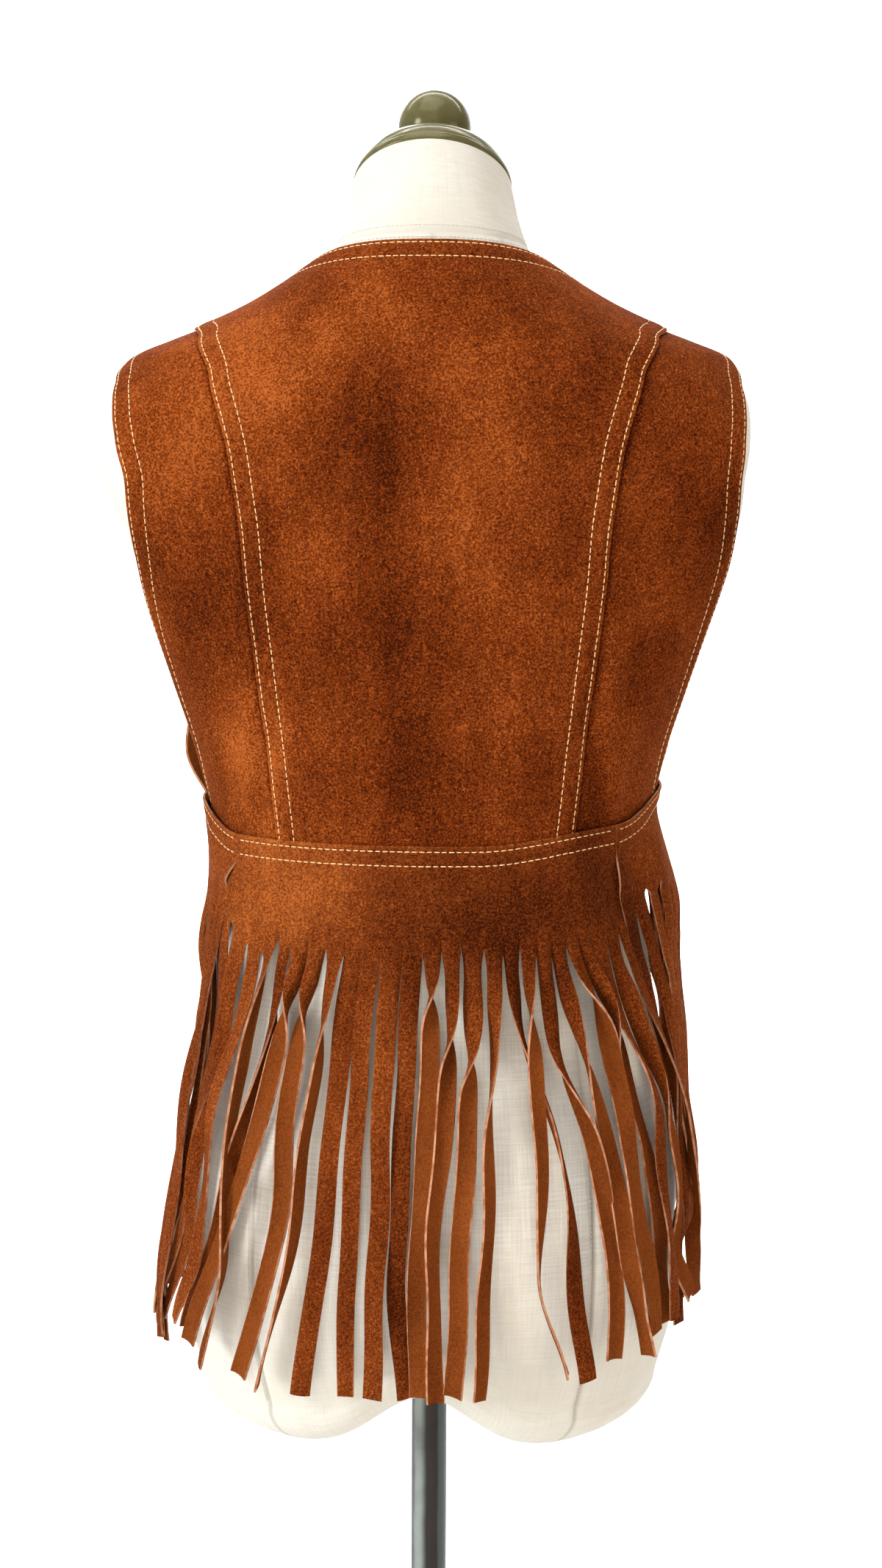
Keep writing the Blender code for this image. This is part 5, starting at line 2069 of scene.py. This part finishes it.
@dataclass
class Vest:
    """All the vest's panels and their topstitching."""

    wardrobe: Wardrobe
    double: Pair = (0.0019, 0.0112)
    princess_sewn: float = 0.81
    corner_radius: float = 0.2
    centre_radius: float = 0.1
    seeds: tuple[tuple[Side, int, int], ...] = ((Side.LEFT, 31, 24), (Side.RIGHT, 47, 22))
    pull: dict[Side, Pair] = field(default_factory=lambda: {
        Side.LEFT: (3.4, 0.0), Side.RIGHT: (0.0, 0.2)})
    curl: dict[Side, Pair] = field(default_factory=lambda: {
        Side.LEFT: (0.0075, 0.006), Side.RIGHT: (0.006, 0.0012)})
    made: list[Object] = field(default_factory=list)

    def bodice(self) -> list[Bodice]:
        """The five bodice panels."""
        panels: list[Bodice] = [BackCentre(
            "centre_back_suede", "back_centre", 1, self.wardrobe, flat=(0.31, 0.36), area=0.082,
            rows=tuple(StitchRow(edge, inset, 1.0 if edge is Edge.UPPER else self.princess_sewn)
                       for edge in (Edge.INNER, Edge.OUTER, Edge.UPPER) for inset in self.double))]
        for side in Side:
            panels.append(BackSide(
                f"side_back_{side.word}_suede", f"back_side_{side.word}", 0, self.wardrobe,
                flat=(0.115, 0.33), area=0.029, side=side,
                rows=tuple(StitchRow(Edge.OUTER, inset) for inset in self.double)))
            panels.append(Front(
                f"front_{side.word}_suede", f"front_{side.word}", 0, self.wardrobe,
                flat=(0.24, 0.40), area=0.058, side=side,
                rows=tuple(StitchRow(edge, inset) for edge in (Edge.INNER, Edge.OUTER)
                           for inset in self.double)))
        return panels

    def fringes(self) -> list[FringePanel]:
        """The three waist panels."""
        corner = BACK_CORNER + math.degrees(SEAM_GAP / self.corner_radius)
        centre = 180 - math.degrees(CENTRE_FRONT_GAP / self.centre_radius)
        panels = [FringePanel("fringe_back_suede", "fringe_back", -BACK_CORNER, BACK_CORNER, BACK_FRINGE,
                              self.wardrobe, flat=(0.262, 0.325), seed=11, corner_pull=(1.6, 4.0),
                              corner_curl=(-0.0036, -0.0008))]
        for side, cut_seed, hang_seed in self.seeds:
            start, end = sorted((side.value * corner, side.value * centre))
            panels.append(FringePanel(
                f"fringe_front_{side.word}_suede", f"fringe_front_{side.word}", start, end,
                FrontCut(side).strips(start, end, cut_seed), self.wardrobe, flat=(0.275, 0.325),
                seed=hang_seed, slit_rise=0.02, corner_pull=self.pull[side], corner_curl=self.curl[side],
                side_fit=SIDE_FIT[side]))
        return panels

    def build(self) -> None:
        """Builds every panel, then sews it."""
        rng = random.Random(5)
        panels = [*self.bodice(), *self.fringes()]
        self.made += [panel.build() for panel in panels]
        for panel in panels:
            stitcher = Stitcher()
            for path, normals in panel.lines:
                stitcher.run(path, normals, rng)
            name = panel.name.replace("_suede", "_topstitching")
            self.made.append(stitcher.piece(name, self.wardrobe.thread))


# ---------------- the studio


@dataclass(frozen=True)
class Lamp:
    """One soft rectangular light: where it stands, what it faces, its width and height, power and colour."""

    name: str
    at: Triple
    aim: Triple
    size: Pair
    watts: float
    color: Color = (1.0, 1.0, 1.0)

    def place(self) -> None:
        """Hangs the light."""
        data = bpy.data.lights.new(self.name, "AREA")
        data.shape = "RECTANGLE"
        data.size, data.size_y = self.size
        data.energy = self.watts
        data.color = self.color
        lamp = placed(self.name, data)
        lamp.location = self.at
        lamp.rotation_euler = (Vector(self.aim) - Vector(self.at)).to_track_quat("-Z", "Y").to_euler()


@dataclass
class Studio:
    """The camera, the lights and the pale sweep. The camera's angles are degrees."""

    wardrobe: Wardrobe
    position: Triple = (-0.06, 1.44876, 1.357)
    yaw: float = 0.22605
    pitch: float = 8.5
    roll: float = 0.25
    lens: float = 55.61
    sensor: float = 36.0
    far: float = 50.0
    sweep_half_width: float = 4.0
    sweep_front: float = 2.6
    sweep_back: float = -3.2
    sweep_height: float = 3.4
    sweep_bend: float = 1.2
    sweep_steps: int = 17
    sweep_drop: float = 0.0005
    glow: tuple[float, float, float, float] = (0.97, 0.98, 1.0, 1.0)
    glow_strength: float = 0.42
    lamps: tuple[Lamp, ...] = (
        Lamp("key", (1.9, 1.5, 1.9), (0, 0, 1.15), (0.7, 1.0), 58, (0.93, 0.97, 1.0)),
        Lamp("fill", (-2.1, 1.0, 1.3), (0, 0, 1.05), (1.0, 1.4), 15, (1.0, 0.82, 0.62)),
        Lamp("low", (0.35, 2.3, 0.8), (0, 0, 0.92), (1.6, 0.9), 22, (1.0, 0.93, 0.82)),
        Lamp("top", (0.2, 0.4, 3.0), (0, 0, 1.2), (1.4, 1.4), 22),
        Lamp("front", (0.6, -2.2, 2.0), (0, 0, 1.1), (1.4, 1.4), 26, (1.0, 0.98, 0.95)),
        Lamp("backdrop", (0.0, -0.9, 2.9), (0, -3.2, 0.9), (3.4, 0.8), 240),
    )

    def camera(self) -> None:
        """Stands the camera behind the vest, turned to frame it."""
        eye, upright = Vector(self.position), Vector((0, 0, 1))
        yaw, pitch, roll = (math.radians(angle) for angle in (self.yaw, self.pitch, self.roll))
        ahead = Vector((-eye.x, -eye.y, 0)).normalized()
        ahead = (ahead * math.cos(yaw) + ahead.cross(upright) * math.sin(yaw)).normalized()
        right = ahead.cross(upright).normalized()
        look = ahead * math.cos(pitch) - upright * math.sin(pitch)
        up = right.cross(look)
        right, up = right * math.cos(roll) + up * math.sin(roll), up * math.cos(roll) - right * math.sin(roll)
        data = bpy.data.cameras.new("camera")
        data.sensor_fit = "VERTICAL"
        data.sensor_height = self.sensor
        data.lens = self.lens
        data.clip_end = self.far
        camera = placed("camera", data)
        camera.matrix_world = Matrix.Translation(eye) @ Matrix((right, up, -look)).transposed().to_4x4()
        bpy.context.scene.camera = camera
        bpy.context.scene.view_settings.view_transform = "Standard"

    def sweep(self) -> None:
        """The pale paper: a floor that curves up into a wall behind the vest."""
        bend = self.sweep_bend
        line = [(self.sweep_front, 0.0)]
        line += [(self.sweep_back + bend - bend * math.sin(turn), bend - bend * math.cos(turn))
                 for turn in np.radians(np.linspace(0, 90, self.sweep_steps))]
        line.append((self.sweep_back, self.sweep_height))
        points = [(x, y, z) for y, z in line for x in (-self.sweep_half_width, self.sweep_half_width)]
        faces = [(2 * i + 1, 2 * i, 2 * i + 2, 2 * i + 3) for i in range(len(line) - 1)]
        mesh = bpy.data.meshes.new("sweep")
        mesh.from_pydata(points, [], faces)
        mesh.materials.append(self.wardrobe.paper)
        mesh.shade_smooth()
        made = placed("sweep", mesh)
        made.location.z = -self.sweep_drop

    def build(self) -> None:
        """Sets the camera, lights, sweep and the room's own glow."""
        self.camera()
        for lamp in self.lamps:
            lamp.place()
        world = bpy.data.worlds.new("room")
        bpy.context.scene.world = world
        world.use_nodes = True
        shade = world.node_tree.nodes["Background"]
        shade.inputs["Color"].default_value = self.glow
        shade.inputs["Strength"].default_value = self.glow_strength
        self.sweep()


def main() -> None:
    """Builds the dress form, its stand and the vest, then lights them."""
    logging.basicConfig(level=logging.INFO, format="%(name)s: %(message)s")
    wardrobe = Wardrobe()
    Studio(wardrobe).build()
    form = DressForm(wardrobe)
    cap = NeckCap(wardrobe)
    stand = Stand(wardrobe)
    made = [form.build(), form.stitches(random.Random(3)), cap.cap(), cap.knob(), stand.pole(), stand.foot()]
    vest = Vest(wardrobe)
    vest.build()
    for piece in made + vest.made:
        piece.data.calc_loop_triangles()
        LOG.info("%s: %d triangles", piece.name, len(piece.data.loop_triangles))


if __name__ == "__main__":
    main()
